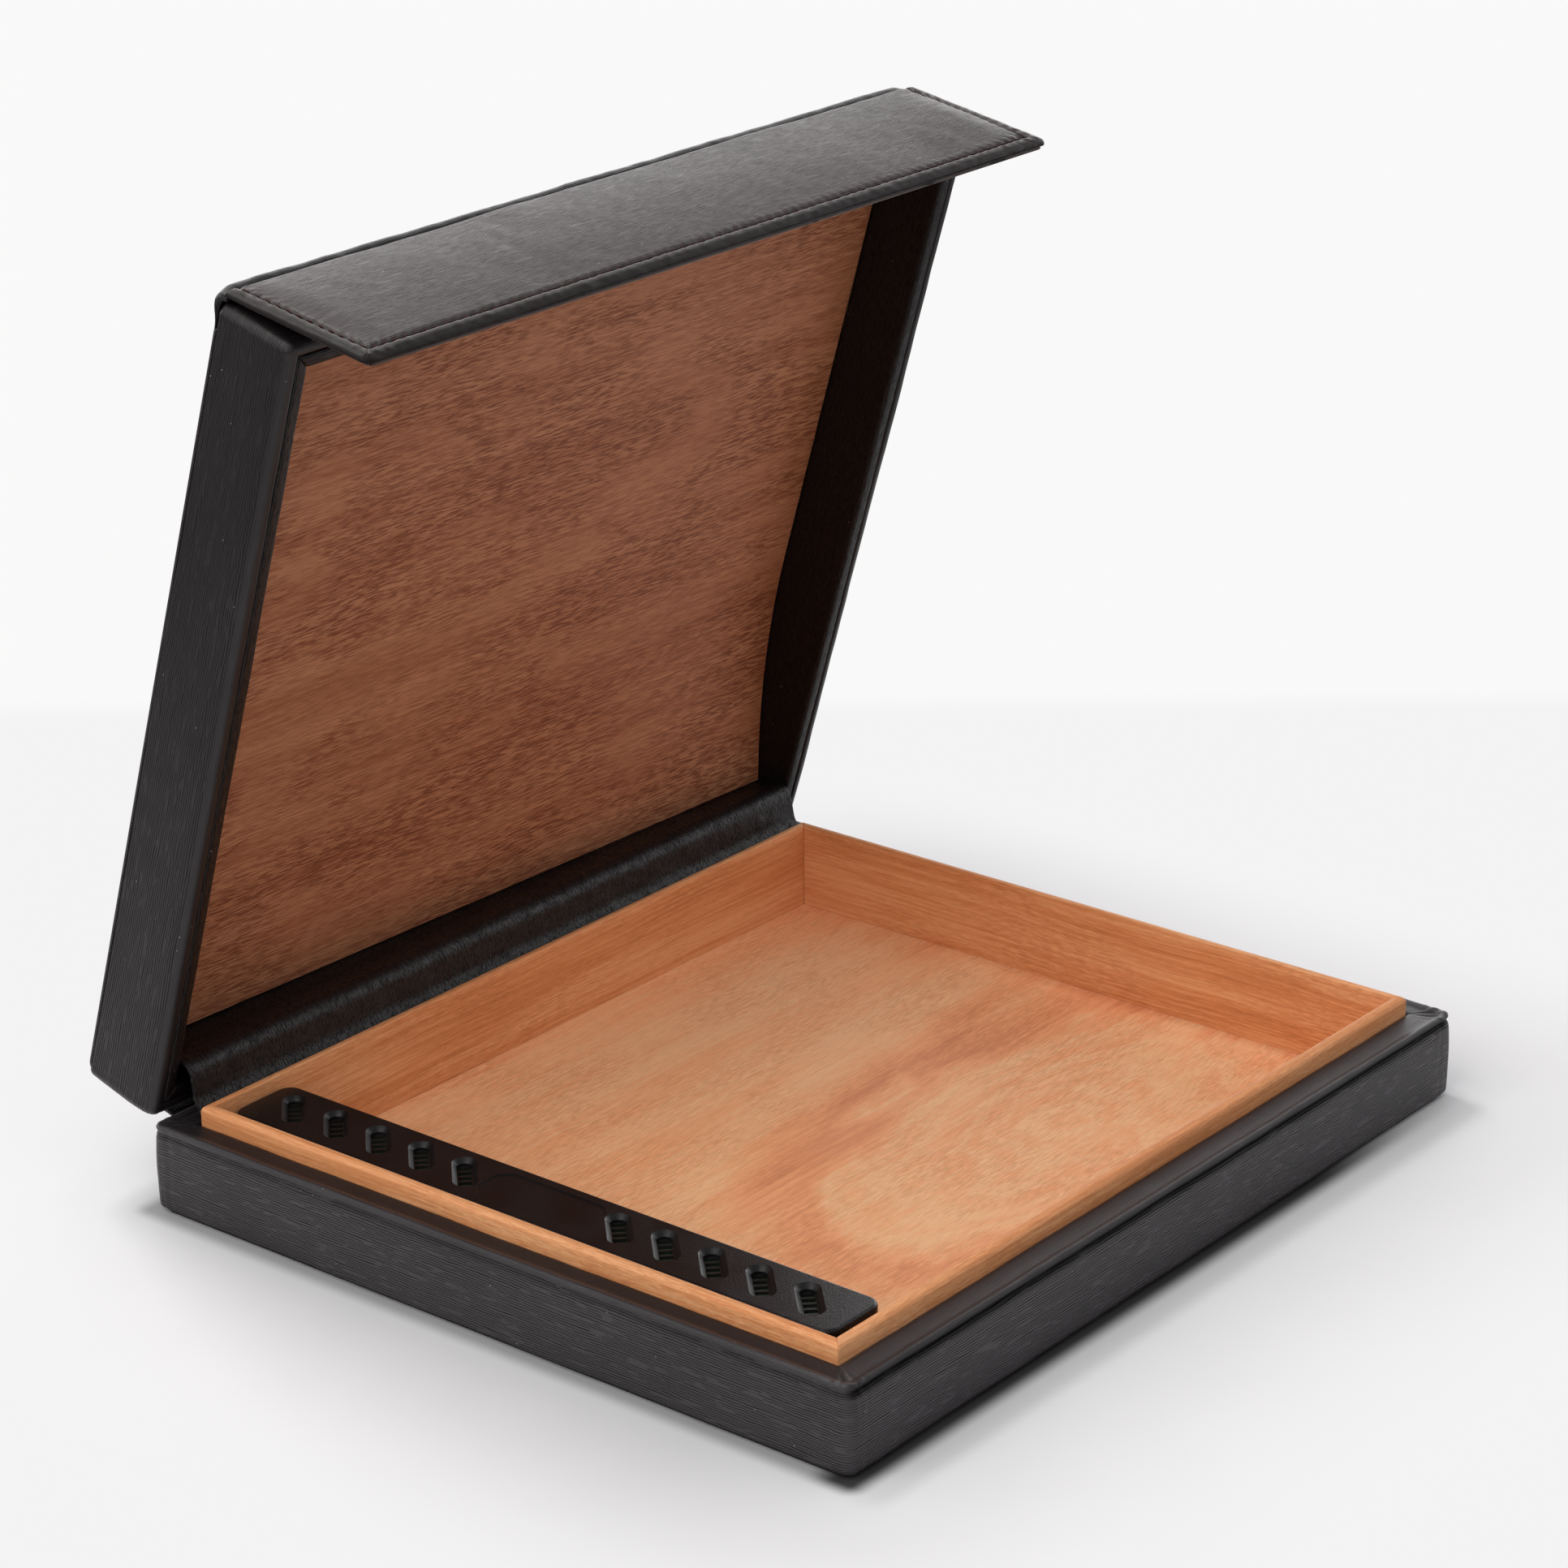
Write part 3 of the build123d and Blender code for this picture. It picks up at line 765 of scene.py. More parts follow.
@dataclass(frozen=True)
class Cedar:
    """Planed cedar: long fibres, reddish streaks, curly flecks, crisp dark pores and a figure.

    The figure is an oval where the veneer's face cuts a dip in the trunk: growth rings inside,
    a darker reddish band round it.
    """

    name: str
    light: str
    middle: str
    dark: str
    along_y: bool = False
    seed: float = 0.0
    fibre_share: float = 0.2
    streak_share: float = 0.3
    fleck_share: float = 0.3
    figure_share: float = 0.0
    figure_at: tuple[float, float] = (0.0, 0.0)
    figure_reach: float = 50.0
    figure_aspect: float = 0.62
    pores: float = 0.6
    pore_colour: str = ""
    pore_length: float = 3.5
    pore_width: float = 0.45
    sway: float = 3.0
    roughness_depth: float = 0.07

    def material(self) -> bpy.types.Material:
        """Builds the material.

        Fibres, streaks, flecks and pores are noises stretched along the grain. The flecks and
        pores come and go with a broad noise. The tones add up to a place on a ramp from light
        to dark, and the pores darken it.

        Returns:
            The material.
        """
        mix = Palette(self.name)
        turn = (0.0, 0.0, 90.0 if self.along_y else 0.0)
        on = self.bent(mix)
        shift = (self.seed, self.seed * 1.7, self.seed * 0.6)
        fibres = mix.noise(mix.place(on, (0.02, 1.5, 1.5), turn, shift), 4.0, 0.65)
        streaks = mix.noise(mix.place(on, (0.007, 0.11, 0.11), turn, shift), 4.0, 0.6, 0.3)
        flecks = mix.noise(mix.place(on, (0.3, 1.5, 1.5), turn, shift), 2.0, 0.5, 0.4)
        patches = mix.noise(mix.place(on, (0.02, 0.045, 0.045), turn, shift), 3.0, 0.55, 0.6)
        pore_scale = (1 / self.pore_length, 1 / self.pore_width, 1 / self.pore_width)
        dashes = mix.noise(mix.place(on, pore_scale, turn, shift), 2.0, 0.5)
        shown = mix.spread(patches, 0.36, 0.6, (0.4, 1.0))
        tone = mix.spread(fibres, 0.35, 0.65, (0.0, self.fibre_share))
        tone = mix.sum("ADD", tone, mix.spread(streaks, 0.36, 0.66, (0.0, self.streak_share)))
        mottle = mix.sum("MULTIPLY", mix.spread(flecks, 0.42, 0.6, (0.0, self.fleck_share)), shown)
        tone = mix.sum("ADD", tone, mottle)
        if self.figure_share:
            tone = mix.sum("ADD", tone, self.figure(mix, on, turn))
        ramp = mix.node("ValToRGB", {0: tone})
        stops = ramp.color_ramp.elements
        stops[0].position, stops[0].color = 0.08, linear(self.light)
        stops[1].position, stops[1].color = 0.95, linear(self.dark)
        stops.new(0.42).color = linear(self.middle)
        pore = mix.sum("MULTIPLY", mix.spread(dashes, 0.46, 0.57, (0.0, self.pores)), shown)
        colour = mix.tint(pore, ramp.outputs[0], linear(self.pore_colour or self.dark))
        height = mix.sum("SUBTRACT", mix.sum("ADD", mix.sum("MULTIPLY", fibres, 0.5), flecks), pore)
        return mix.paint(
            Base_Color=colour, Roughness=mix.spread(tone, 0.0, 1.0, (0.62, 0.5)),
            Normal=mix.relief(height, self.roughness_depth), Specular_IOR_Level=0.28,
        )

    def figure(
        self, mix: Palette, on: bpy.types.NodeSocket, turn: tuple[float, float, float]
    ) -> bpy.types.NodeSocket:
        """The oval figure's tone.

        Its radius is the length of (x * aspect, y) from its middle over its reach, bent by a
        broad noise. Rings are a sine of the radius, faded out where the band starts.

        Args:
            mix: The material's graph.
            on: The coordinates to read.
            turn: The turn that lays the grain along X.

        Returns:
            The tone to add, about 0 outside.
        """
        across, along = 1 / self.figure_reach, self.figure_aspect / self.figure_reach
        middle = (-self.figure_at[0] * along, -self.figure_at[1] * across, 0.0)
        oval = mix.place(on, (along, across, 0.0), turn, middle)
        radius = mix.vector("LENGTH", oval)
        wobble = mix.noise(mix.place(on, (0.018, 0.05, 0.05), turn), 3.0, 0.55)
        radius = mix.sum("ADD", radius, mix.spread(wobble, 0.3, 0.7, (-0.14, 0.14)))
        rings = mix.sum("SINE", mix.sum("MULTIPLY", radius, 34.0), 0.0)
        inside = mix.spread(radius, 0.8, 1.0, (1.0, 0.0))
        rings = mix.sum("MULTIPLY", mix.spread(rings, -1.0, 1.0, (-0.28, 0.12)), inside)
        rise = mix.spread(radius, 0.88, 1.04)
        fall = mix.spread(radius, 1.06, 1.5, (1.0, 0.0))
        band = mix.sum("MULTIPLY", rise, fall)
        return mix.sum("MULTIPLY", mix.sum("ADD", rings, band), self.figure_share)

    def bent(self, mix: Palette) -> bpy.types.NodeSocket:
        """The coordinates, pushed to and fro by a slow noise so that the grain sways.

        Args:
            mix: The material's graph.

        Returns:
            The object's own coordinates plus the noise's offset.
        """
        on = mix.node("TexCoord", {}).outputs[Coordinates.OBJECT.value]
        swayed = mix.place(on, (0.012, 0.018, 0.018), shift=(self.seed, 0.0, 0.0))
        noise = mix.node("TexNoise", {"Vector": swayed, "Scale": 1.0, "Detail": 1.0}).outputs[1]
        centred = mix.vector("SUBTRACT", noise, (0.5,) * 3)
        return mix.vector("ADD", on, mix.vector("MULTIPLY", centred, (self.sway * MM,) * 3))


@dataclass(frozen=True)
class Moulded:
    """Moulded plastic or foam: one colour under fine spark texture."""

    name: str
    colour: str
    shade: str
    gloss: float
    grain: float
    depth: float
    specular: float = 0.4

    def material(self) -> bpy.types.Material:
        """Builds the material: a fine noise gives its texture, a broad one its slight mottling.

        Returns:
            The material.
        """
        mix = Palette(self.name)
        on = Coordinates.OBJECT
        spark = mix.noise(mix.place(on, (1 / self.grain,) * 3), 3.0, 0.6)
        broad = mix.noise(mix.place(on, (0.08,) * 3), 3.0)
        share = mix.sum("MULTIPLY", mix.sum("ADD", spark, broad), 0.5)
        colour = mix.tint(mix.spread(share, 0.35, 0.65), linear(self.shade), linear(self.colour))
        return mix.paint(
            Base_Color=colour, Normal=mix.relief(spark, self.depth),
            Roughness=mix.spread(broad, 0.3, 0.7, (self.gloss - 0.04, self.gloss + 0.05)),
            Specular_IOR_Level=self.specular,
        )


@dataclass(frozen=True)
class Thread:
    """Waxed twisted thread: slanting strands across each stitch."""

    name: str
    colour: str
    shade: str
    strand_pitch: float = 0.28

    def material(self) -> bpy.types.Material:
        """Builds the material: slanting bands on the stitch's own map, for tint and relief.

        Returns:
            The material.
        """
        mix = Palette(self.name)
        slant = mix.place(Coordinates.SURFACE, (1 / self.strand_pitch,) * 3, (0.0, 0.0, 35.0))
        strands = mix.node(
            "TexWave", {"Vector": slant, "Scale": ONE_BAND, "Distortion": 0.4}
        ).outputs["Fac"]
        colour = mix.tint(strands, linear(self.shade), linear(self.colour))
        return mix.paint(
            Base_Color=colour, Roughness=mix.spread(strands, 0.0, 1.0, (0.8, 0.6)),
            Normal=mix.relief(strands, 0.06), Specular_IOR_Level=0.2,
        )


# Pieces


@dataclass(frozen=True)
class LeatherBand:
    """Leather carried round a box: up its wall, over its rim and down inside."""

    name: str
    frame: LocalFrame
    path: RoundedPath
    insets: Insets
    mid_y: float
    outside: list[tuple[float, float]]
    inside: list[tuple[float, float]]
    facing: int
    pleat_centre: tuple[float, float]
    pleat_height: float = 0.16
    pleat_count: float = 11.0
    seed: int = 1
    creases: tuple[tuple[float, float], ...] = ()
    crease_pitch: float = 1.3
    crease_height: float = 0.16
    welt: tuple[float, float] = (21.2, 0.45)
    smooth_from: float = 21.0
    # How much painted shade darkens the ledge inside the rim.
    ledge_painted_shade: float = 0.0
    least_corner: float = 0.25
    spacing: float = 0.5

    def grid(self, profile: Array) -> Array:
        """The profile carried round the box, square to its walls.

        At inset i the loop is the box drawn in by i, and its corners keep the rest of the
        radius, corner - i, down to a small one, so that the leather gathers there.

        Args:
            profile: Insets and levels, as rows.

        Returns:
            Grid of points, round the box and up the profile.
        """
        place, normal, _ = self.path.trace()
        inset, level = profile[:, 0], profile[:, 1]
        front, back = self.insets.spread(inset)
        radius = np.maximum(self.path.corner - inset, self.least_corner)
        half_y = self.path.half_y - (front + back) / 2
        shift_y = self.mid_y + (front - back) / 2
        x = place[:, None, 0] * (self.path.half_x - inset - radius)
        y = shift_y + place[:, None, 1] * (half_y - radius)
        x = x + normal[:, None, 0] * radius
        y = y + normal[:, None, 1] * radius
        return np.stack([x, y, np.broadcast_to(level, x.shape)], axis=-1)

    def folds(self, points: Array) -> Array:
        """How far the leather stands out at each point.

        Everywhere it is uneven by two smooth noises. On the rim it gathers at each corner in
        pleats, a cosine of the angle round the lining's corner, faded by the distance from it.
        The box's upright corners crease across in places, a cosine of the level.

        Args:
            points: The grid.

        Returns:
            Distances along the surface's normals.
        """
        out = rumpled(points, [(22.0, 0.16, self.seed), (6.0, 0.07, self.seed + 1)])
        from_x = np.abs(points[..., 0]) - self.pleat_centre[0]
        from_y = np.abs(points[..., 1] - self.mid_y) - self.pleat_centre[1]
        angle = np.arctan2(from_y, from_x)
        reach = np.hypot(from_x, from_y)
        sector = window(angle - math.pi / 4, 0.75) * window(reach - 8.5, 5.5)
        wander = lattice_noise(points, 3.0, self.seed + 2)
        pleats = np.cos(angle * self.pleat_count * 2 + 2.2 * wander)
        out = out + self.pleat_height * sector * (pleats + 0.8 * wander)
        normal = self.path.trace()[1][:, None]
        at_corner = (2 * np.abs(normal[..., 0] * normal[..., 1])) ** 1.5
        level = points[..., 2]
        crease = np.cos(2 * math.pi * (level + 0.6 * wander) / self.crease_pitch)
        shown = sum((window(level - at, reach) for at, reach in self.creases), np.zeros_like(level))
        return out + self.crease_height * at_corner * shown * crease

    def build(self) -> bpy.types.Object:
        """Builds the closed band, with its map running along the wall and up it.

        The welt is a shallow groove along the front wall, under the bead. The grain fades on
        the rim and at the upright corners. The ledge inside the rim, the groove and the front's
        bead get painted shade, darker where shade falls.

        Returns:
            The new piece.
        """
        outer = resampled(smooth_curve(self.outside, 12), self.spacing)
        profile = np.vstack([outer, np.array(self.inside, float)])
        inset, level = profile[:, 0], profile[:, 1]
        points = self.grid(profile)
        normals = grid_normals(points, wrap_u=True) * self.facing
        stand = self.folds(points)
        welt, depth = self.welt
        _, facing, distance = self.path.trace()
        front = np.clip(-facing[:, 1:], 0, 1) ** 2
        stand = stand - depth * front * (inset < 1.2) * window(level - welt, 1.2)
        stand[:, len(outer) :] = 0
        ends = np.minimum(np.arange(len(outer)), np.arange(len(outer))[::-1])
        stand[:, : len(outer)] *= np.clip(ends / 5, 0, 1)
        points = points + normals * stand[..., None]
        height = curve_length(np.vstack([profile, profile[:1]]))
        uv = np.stack(np.meshgrid(distance, height, indexing="ij"), axis=-1) * MM
        turning = np.abs(2 * facing[:, :1] * facing[:, 1:])
        grain = 1 - 0.75 * np.clip((level - self.smooth_from) * self.facing / 0.8, 0, 1)
        grain = grain * (1 - 0.6 * turning)
        # Painted shade: dark on the ledge beside the liners, in the welt groove and on the front's bead.
        ledge = self.ledge_painted_shade * np.clip((inset - 1.9) / 0.9, 0, 1) * (1 - 0.6 * front)
        groove = (inset < 1.2) * window(level - welt + 0.35, 1.5)
        bead = np.clip((3.2 - inset) / 1.4, 0, 1) * window(level - welt - 0.5, 2.8)
        return make_surface(
            self.name, self.frame.to_row(points), uv, wrap_u=True, wrap_v=True,
            grain=grain, painted_shade=ledge + (0.3 * groove + 0.7 * front * bead) * (depth > 0),
        )


@dataclass(frozen=True)
class MitredStrip:
    """One side of a leather frame: a strip folded over the rim, cut at 45 degrees at its ends."""

    name: str
    side: Side
    frame: LocalFrame
    half_x: float
    half_y: float
    mid_y: float
    face: list[tuple[float, float]]
    thickness: float
    seed: int = 1

    def build(self) -> bpy.types.Object:
        """Builds the closed strip.

        A point at inset i lies half_width - i from the middle, and its ends lie where the
        neighbours' insets are the same. The face drops a little at the ends, where the two cut
        edges meet.

        Returns:
            The new piece.
        """
        out = np.array(self.side.value, float)
        along = np.array([-out[1], out[0]])
        outer = resampled(smooth_curve(self.face, 10), 0.5)
        normal = np.gradient(outer, axis=0)
        normal = np.stack([-normal[:, 1], normal[:, 0]], axis=1)
        normal /= np.linalg.norm(normal, axis=1, keepdims=True)
        reach = abs(out @ np.array([self.half_x, self.half_y]))
        half = abs(along @ np.array([self.half_x, self.half_y]))
        steps = RoundedPath(0, 0, 0, fine=0.25, coarse=2.0, reach=10.0).side_steps(2 * half)
        ease = np.exp(-(((1 - np.abs(steps)) * half) / 0.35) ** 2) * 0.28
        rows = []
        for line, sink in ((outer, ease), (outer[::-1] + normal[::-1] * self.thickness, 0 * ease)):
            inset = line[None, :, 0] + sink[:, None] * np.where(line[None, :, 1] > 1.0, -1.0, 0.0)
            level = line[None, :, 1] + sink[:, None] * np.where(line[None, :, 1] > 1.0, 0.0, 1.0)
            place = out[None, None] * (reach - inset)[..., None]
            place = place + along * (steps[:, None] * (half - line[None, :, 0]))[..., None]
            rows.append(np.concatenate([place, level[..., None]], axis=-1))
        points = np.concatenate(rows, axis=1)
        points[..., 1] += self.mid_y
        uneven = rumpled(points, [(16.0, 0.09, self.seed), (5.0, 0.05, self.seed + 3)])
        uneven[:, outer.shape[0] :] = 0
        points[..., 2] += uneven
        height = curve_length(np.vstack([outer, outer[::-1], outer[:1]]))
        uv = np.stack(np.meshgrid(steps * half, height, indexing="ij"), axis=-1) * MM
        return make_surface(self.name, self.frame.to_row(points), uv, wrap_v=True)


@dataclass(frozen=True)
class SweptLeather:
    """A strip of leather that runs along the hinge, from its line across."""

    name: str
    line: Array
    thickness: float
    half_width: float
    noise: list[tuple[float, float, int]]
    wrinkle: float = 0.0
    wrinkle_pitch: float = 2.6
    rounding: float = 0.5
    core: Array | None = None
    core_reach: float = 4.0
    sink: float = 0.0
    # How much painted shade darkens the strip away from its ends.
    shade: float = 0.0

    def build(self) -> bpy.types.Object:
        """Builds the closed strip, in world millimetres with x along the hinge.

        The line is the outer face, and the inner one lies a thickness inside. Where there is a
        core line the strip fills up to it near its ends, and the outer face sinks towards it by
        a share. Both faces close in to the middle at the ends, over the rounding, like a quarter
        ellipse. Wrinkles run along the line: a noise whose lattice is stretched that way. The
        shade is painted shade, which darkens the strip away from its ends.

        Returns:
            The new piece.
        """
        line = self.line
        tangent = np.gradient(line, axis=0)
        normal = np.stack([-tangent[:, 1], tangent[:, 0]], axis=1)
        normal /= np.linalg.norm(normal, axis=1, keepdims=True)
        path = RoundedPath(0, 0, 0, fine=0.12, coarse=1.0, reach=5.0)
        x = path.side_steps(2 * self.half_width) * self.half_width
        from_side = self.half_width - np.abs(x)
        distance = curve_length(line)
        from_end = np.minimum(distance, distance[-1] - distance)
        inner = np.broadcast_to(line - normal * self.thickness, (len(x), *line.shape))
        outer = np.broadcast_to(line, inner.shape)
        if self.core is not None:
            share = curve_length(self.core) / curve_length(self.core)[-1]
            even = distance / distance[-1]
            core = np.stack([np.interp(even, share, axis) for axis in self.core.T], axis=1)
            fill = window(from_side / self.core_reach, 1.0)[:, None, None]
            inner = inner + fill * (core - inner)
            outer = outer + fill * self.sink * (core - outer)
        middle, half = (outer + inner) / 2, (outer - inner) / 2
        swell = np.sqrt(1 - 0.98 * np.clip(1 - from_side / self.rounding, 0, 1) ** 2)
        ends = np.sqrt(1 - 0.96 * np.clip(1 - from_end / (self.thickness / 2), 0, 1) ** 2)
        offset = half * (swell[:, None] * ends[None])[..., None]
        along = np.broadcast_to(x[:, None, None], (*middle.shape[:2], 1))
        spot = np.concatenate([along, middle], -1)
        stretched = np.stack(
            np.broadcast_arrays(x[:, None] / self.wrinkle_pitch, distance[None] / 11, 0.0), -1
        )
        stand = rumpled(spot, self.noise) + self.wrinkle * lattice_noise(stretched, 1.0, 5)
        stand = (stand * np.clip(from_end / 2.0, 0, 1))[..., None] * normal
        faces = [
            np.concatenate([along, middle + direction * offset + stand], -1)
            for direction in (1, -1)
        ]
        points = np.concatenate([faces[0], faces[1][:, ::-1]], axis=1)
        back = 2 * distance[-1] - distance[::-1]
        round_trip = np.concatenate([distance, back, back[-1:] + self.thickness])
        uv = np.stack(np.meshgrid(x, round_trip, indexing="ij"), axis=-1) * MM
        # Painted shade along the strip's middle.
        painted_shade = self.shade * (1 - window(from_side / (2 * self.core_reach), 1.0))[:, None]
        return make_surface(
            self.name, BASE_FRAME.to_row(points), uv, wrap_v=True, painted_shade=painted_shade
        )


def eased_copy(node: str, name: str, width: float, angle: float = 35.0) -> bpy.types.Object:
    """A copy of a CAD node with merged faces and eased edges.

    Args:
        node: The CAD node.
        name: The new piece's name.
        width: How wide its edges are eased, in millimetres.
        angle: Edges that turn by less than this many degrees stay as they are.

    Returns:
        The new piece.
    """
    mesh = frame["nodes"][node].data.copy()
    mesh.name = name
    piece = finish_mesh(name, mesh)
    work = bmesh.new()
    work.from_mesh(mesh)
    bmesh.ops.dissolve_limit(
        work, angle_limit=math.radians(0.5), verts=work.verts, edges=work.edges
    )
    work.to_mesh(mesh)
    work.free()
    mesh.shade_smooth()
    mesh.set_sharp_from_angle(angle=math.radians(angle))
    bevel = piece.modifiers.new("eased_edges", "BEVEL")
    bevel.width, bevel.segments = width * MM, 2
    bevel.limit_method, bevel.angle_limit = "ANGLE", math.radians(angle)
    bevel.use_clamp_overlap = True
    shade = piece.modifiers.new("even_shading", "WEIGHTED_NORMAL")
    shade.keep_sharp = False
    return piece


@dataclass
class Base:
    """The lower half: leather over boards, a cedar tray and its mitred liners."""

    half_x: float = 125.0
    half_y: float = 107.5
    corner: float = 3.0
    liner_half_x: float = 117.0
    liner_half_y: float = 98.1
    floor_edge: float = 0.1
    liner_edge: float = 0.22

    def side_leather(self) -> bpy.types.Object:
        """The band round the outside, with a bead along its rim and a sunken ledge inside it.

        Returns:
            The new piece.
        """
        side, front = self.half_x - self.liner_half_x, self.half_y - self.liner_half_y
        wall = [
            (2.6, 0.92), (1.3, 0.92), (0.75, 1.0), (0.3, 1.4), (0.06, 2.0), (-0.02, 3.4),
            (-0.12, 7.0), (-0.2, 11.5), (-0.18, 16.0), (0.0, 19.4), (0.3, 20.8), (0.5, 21.35),
            (0.32, 21.9), (0.2, 22.45), (0.4, 22.95), (0.85, 23.2), (1.4, 23.22), (1.95, 23.05),
            (2.5, 22.82), (3.4, 22.72), (5.2, 22.78), (6.8, 22.84), (7.5, 22.72), (7.86, 22.4),
            (7.98, 21.8), (8.0, 20.6),
        ]
        inside = [
            (8.0, 16.0), (8.0, 12.2), (7.1, 12.2), (7.05, 21.2), (2.4, 21.6), (1.3, 2.2), (2.6, 1.9)
        ]
        return LeatherBand(
            name="base_leather_band", frame=BASE_FRAME,
            path=RoundedPath(self.half_x, self.half_y, self.corner),
            insets=Insets(side, front, front - 1.0), mid_y=0.0, outside=wall, inside=inside,
            facing=1, pleat_centre=(self.half_x - 9.5, self.half_y - 10.5), seed=3,
            creases=((22.0, 3.0),), crease_height=0.1, ledge_painted_shade=0.5,
        ).build()

    def build(self) -> None:
        """Builds and dresses the base's pieces."""
        hide = Leather("pressed_leather", "#373336", "#161315").material()
        settle(self.side_leather(), Body.BASE, Slot.OUTER_LEATHER, hide, "base_side_leather")
        under = Leather(
            "underside_leather", "#272324", "#0d0b0c", on=Coordinates.OBJECT, dust=0.3
        ).material()
        dress(frame["nodes"]["base_bottom_leather"], under)
        floor = Cedar(
            "tray_floor_cedar", "#fec998", "#faae7c", "#c4683f", seed=3.1, fibre_share=0.2,
            streak_share=0.18, fleck_share=0.1, figure_share=0.34, figure_at=(46.0, -47.0),
            pores=0.4, pore_length=4.0, pore_width=0.34, pore_colour="#cc8153", sway=6.0,
        ).material()
        veneer = eased_copy("cedar_floor", "cedar_tray_floor", self.floor_edge)
        settle(veneer, Body.BASE, Slot.CEDAR, floor, "cedar_floor")
        for index, side in enumerate(Side):
            wood = Cedar(
                f"{side.name.lower()}_liner_cedar", "#e9ab79", "#d8905c", "#a86238",
                along_y=side in (Side.LEFT, Side.RIGHT), seed=5.3 + 2.7 * index,
                fibre_share=0.3, streak_share=0.3, fleck_share=0.1, pores=0.25, pore_width=0.4,
            ).material()
            node = f"cedar_{side.name.lower()}_liner"
            liner = eased_copy(node, node + "_board", self.liner_edge)
            settle(liner, Body.BASE, Slot.CEDAR, wood, node)


@dataclass
class Lid:
    """The upper half: leather over boards, lined rim and walls, and a cedar panel."""

    half_x: float = 125.0
    length: float = 214.2
    corner: float = 2.8
    seam: float = 3.8
    lining: float = 0.9
    lining_depth: float = 19.0

    def side_leather(self) -> bpy.types.Object:
        """The band round the lid's sides, turned over the rim to the lining's edge.

        Returns:
            The new piece.
        """
        wall = [
            (1.6, 21.72), (0.8, 21.7), (0.1, 21.6), (-0.05, 20.8), (-0.1, 18.0), (-0.2, 13.0),
            (-0.18, 8.0), (-0.05, 4.6), (0.12, 2.9), (0.5, 1.5), (1.1, 0.55), (1.9, 0.1),
            (2.7, 0.0), (3.4, 0.06), (3.78, 0.35), (self.seam, 0.9),
        ]
        inside = [(self.seam, 1.15), (2.4, 1.2), (1.2, 3.0), (1.15, 20.6), (1.6, 21.4)]
        return LeatherBand(
            name="lid_leather_band", frame=LID_FRAME,
            path=RoundedPath(self.half_x, self.length / 2, self.corner),
            insets=Insets(*(self.seam,) * 3), mid_y=-self.length / 2, outside=wall, inside=inside,
            facing=-1, pleat_centre=(self.half_x - 8.0, self.length / 2 - 8.0), seed=11,
            welt=(3.0, 0.0), smooth_from=2.2, pleat_height=0.05,
            creases=((3.0, 6.0),), crease_height=0.06, ledge_painted_shade=0.4,
        ).build()

    def linings(self) -> list[tuple[bpy.types.Object, str]]:
        """The four mitred strips that line the rim and the inner walls.

        Returns:
            Each strip with the name of the CAD node that it stands for.
        """
        face = [
            (3.86, 0.9), (3.9, 0.45), (4.2, 0.16), (4.8, 0.05), (6.0, 0.05), (6.9, 0.12),
            (7.35, 0.42), (7.56, 0.95), (7.6, 2.0), (7.6, 8.0), (7.6, self.lining_depth),
        ]
        made = []
        for index, side in enumerate(Side):
            strip = MitredStrip(
                name=f"lid_{side.name.lower()}_lining_strip", side=side, frame=LID_FRAME,
                half_x=self.half_x, half_y=self.length / 2, mid_y=-self.length / 2,
                face=face, thickness=self.lining, seed=20 + index,
            )
            made.append((strip.build(), f"lid_{side.name.lower()}_lining"))
        return made

    def build(self) -> None:
        """Builds and dresses the lid's pieces."""
        hide = Leather("lid_pressed_leather", "#1f191b", "#0b090a").material()
        settle(self.side_leather(), Body.LID, Slot.OUTER_LEATHER, hide, "lid_side_leather")
        cover = Leather(
            "cover_leather", "#2c2627", "#0c090a", on=Coordinates.OBJECT, depth=0.06,
            turn=(LID_OPEN, 0.0, 0.0),
        ).material()
        top = eased_copy("lid_top_leather", "lid_cover_leather", 0.15)
        settle(top, Body.LID, Slot.OUTER_LEATHER, cover, "lid_top_leather")
        soft = Leather(
            "lining_leather", "#130c0c", "#060303", grain_length=10.0, grain_pitch=0.6,
            crinkle=0.5, depth=0.06, gloss=0.4, specular=0.3, dust=0.8,
        ).material()
        for strip, node in self.linings():
            settle(strip, Body.LID, Slot.LINING_LEATHER, soft, node)
        panel = Cedar(
            "lid_panel_cedar", "#b27a57", "#985c3c", "#5e2e18", seed=8.6, fibre_share=0.22,
            streak_share=0.15, fleck_share=0.06, pores=0.8, pore_colour="#6d341c",
            pore_length=5.0, pore_width=0.34,
        ).material()
        board = eased_copy("lid_cedar_panel", "cedar_lid_panel", 0.15)
        settle(board, Body.LID, Slot.CEDAR, panel, "lid_cedar_panel")


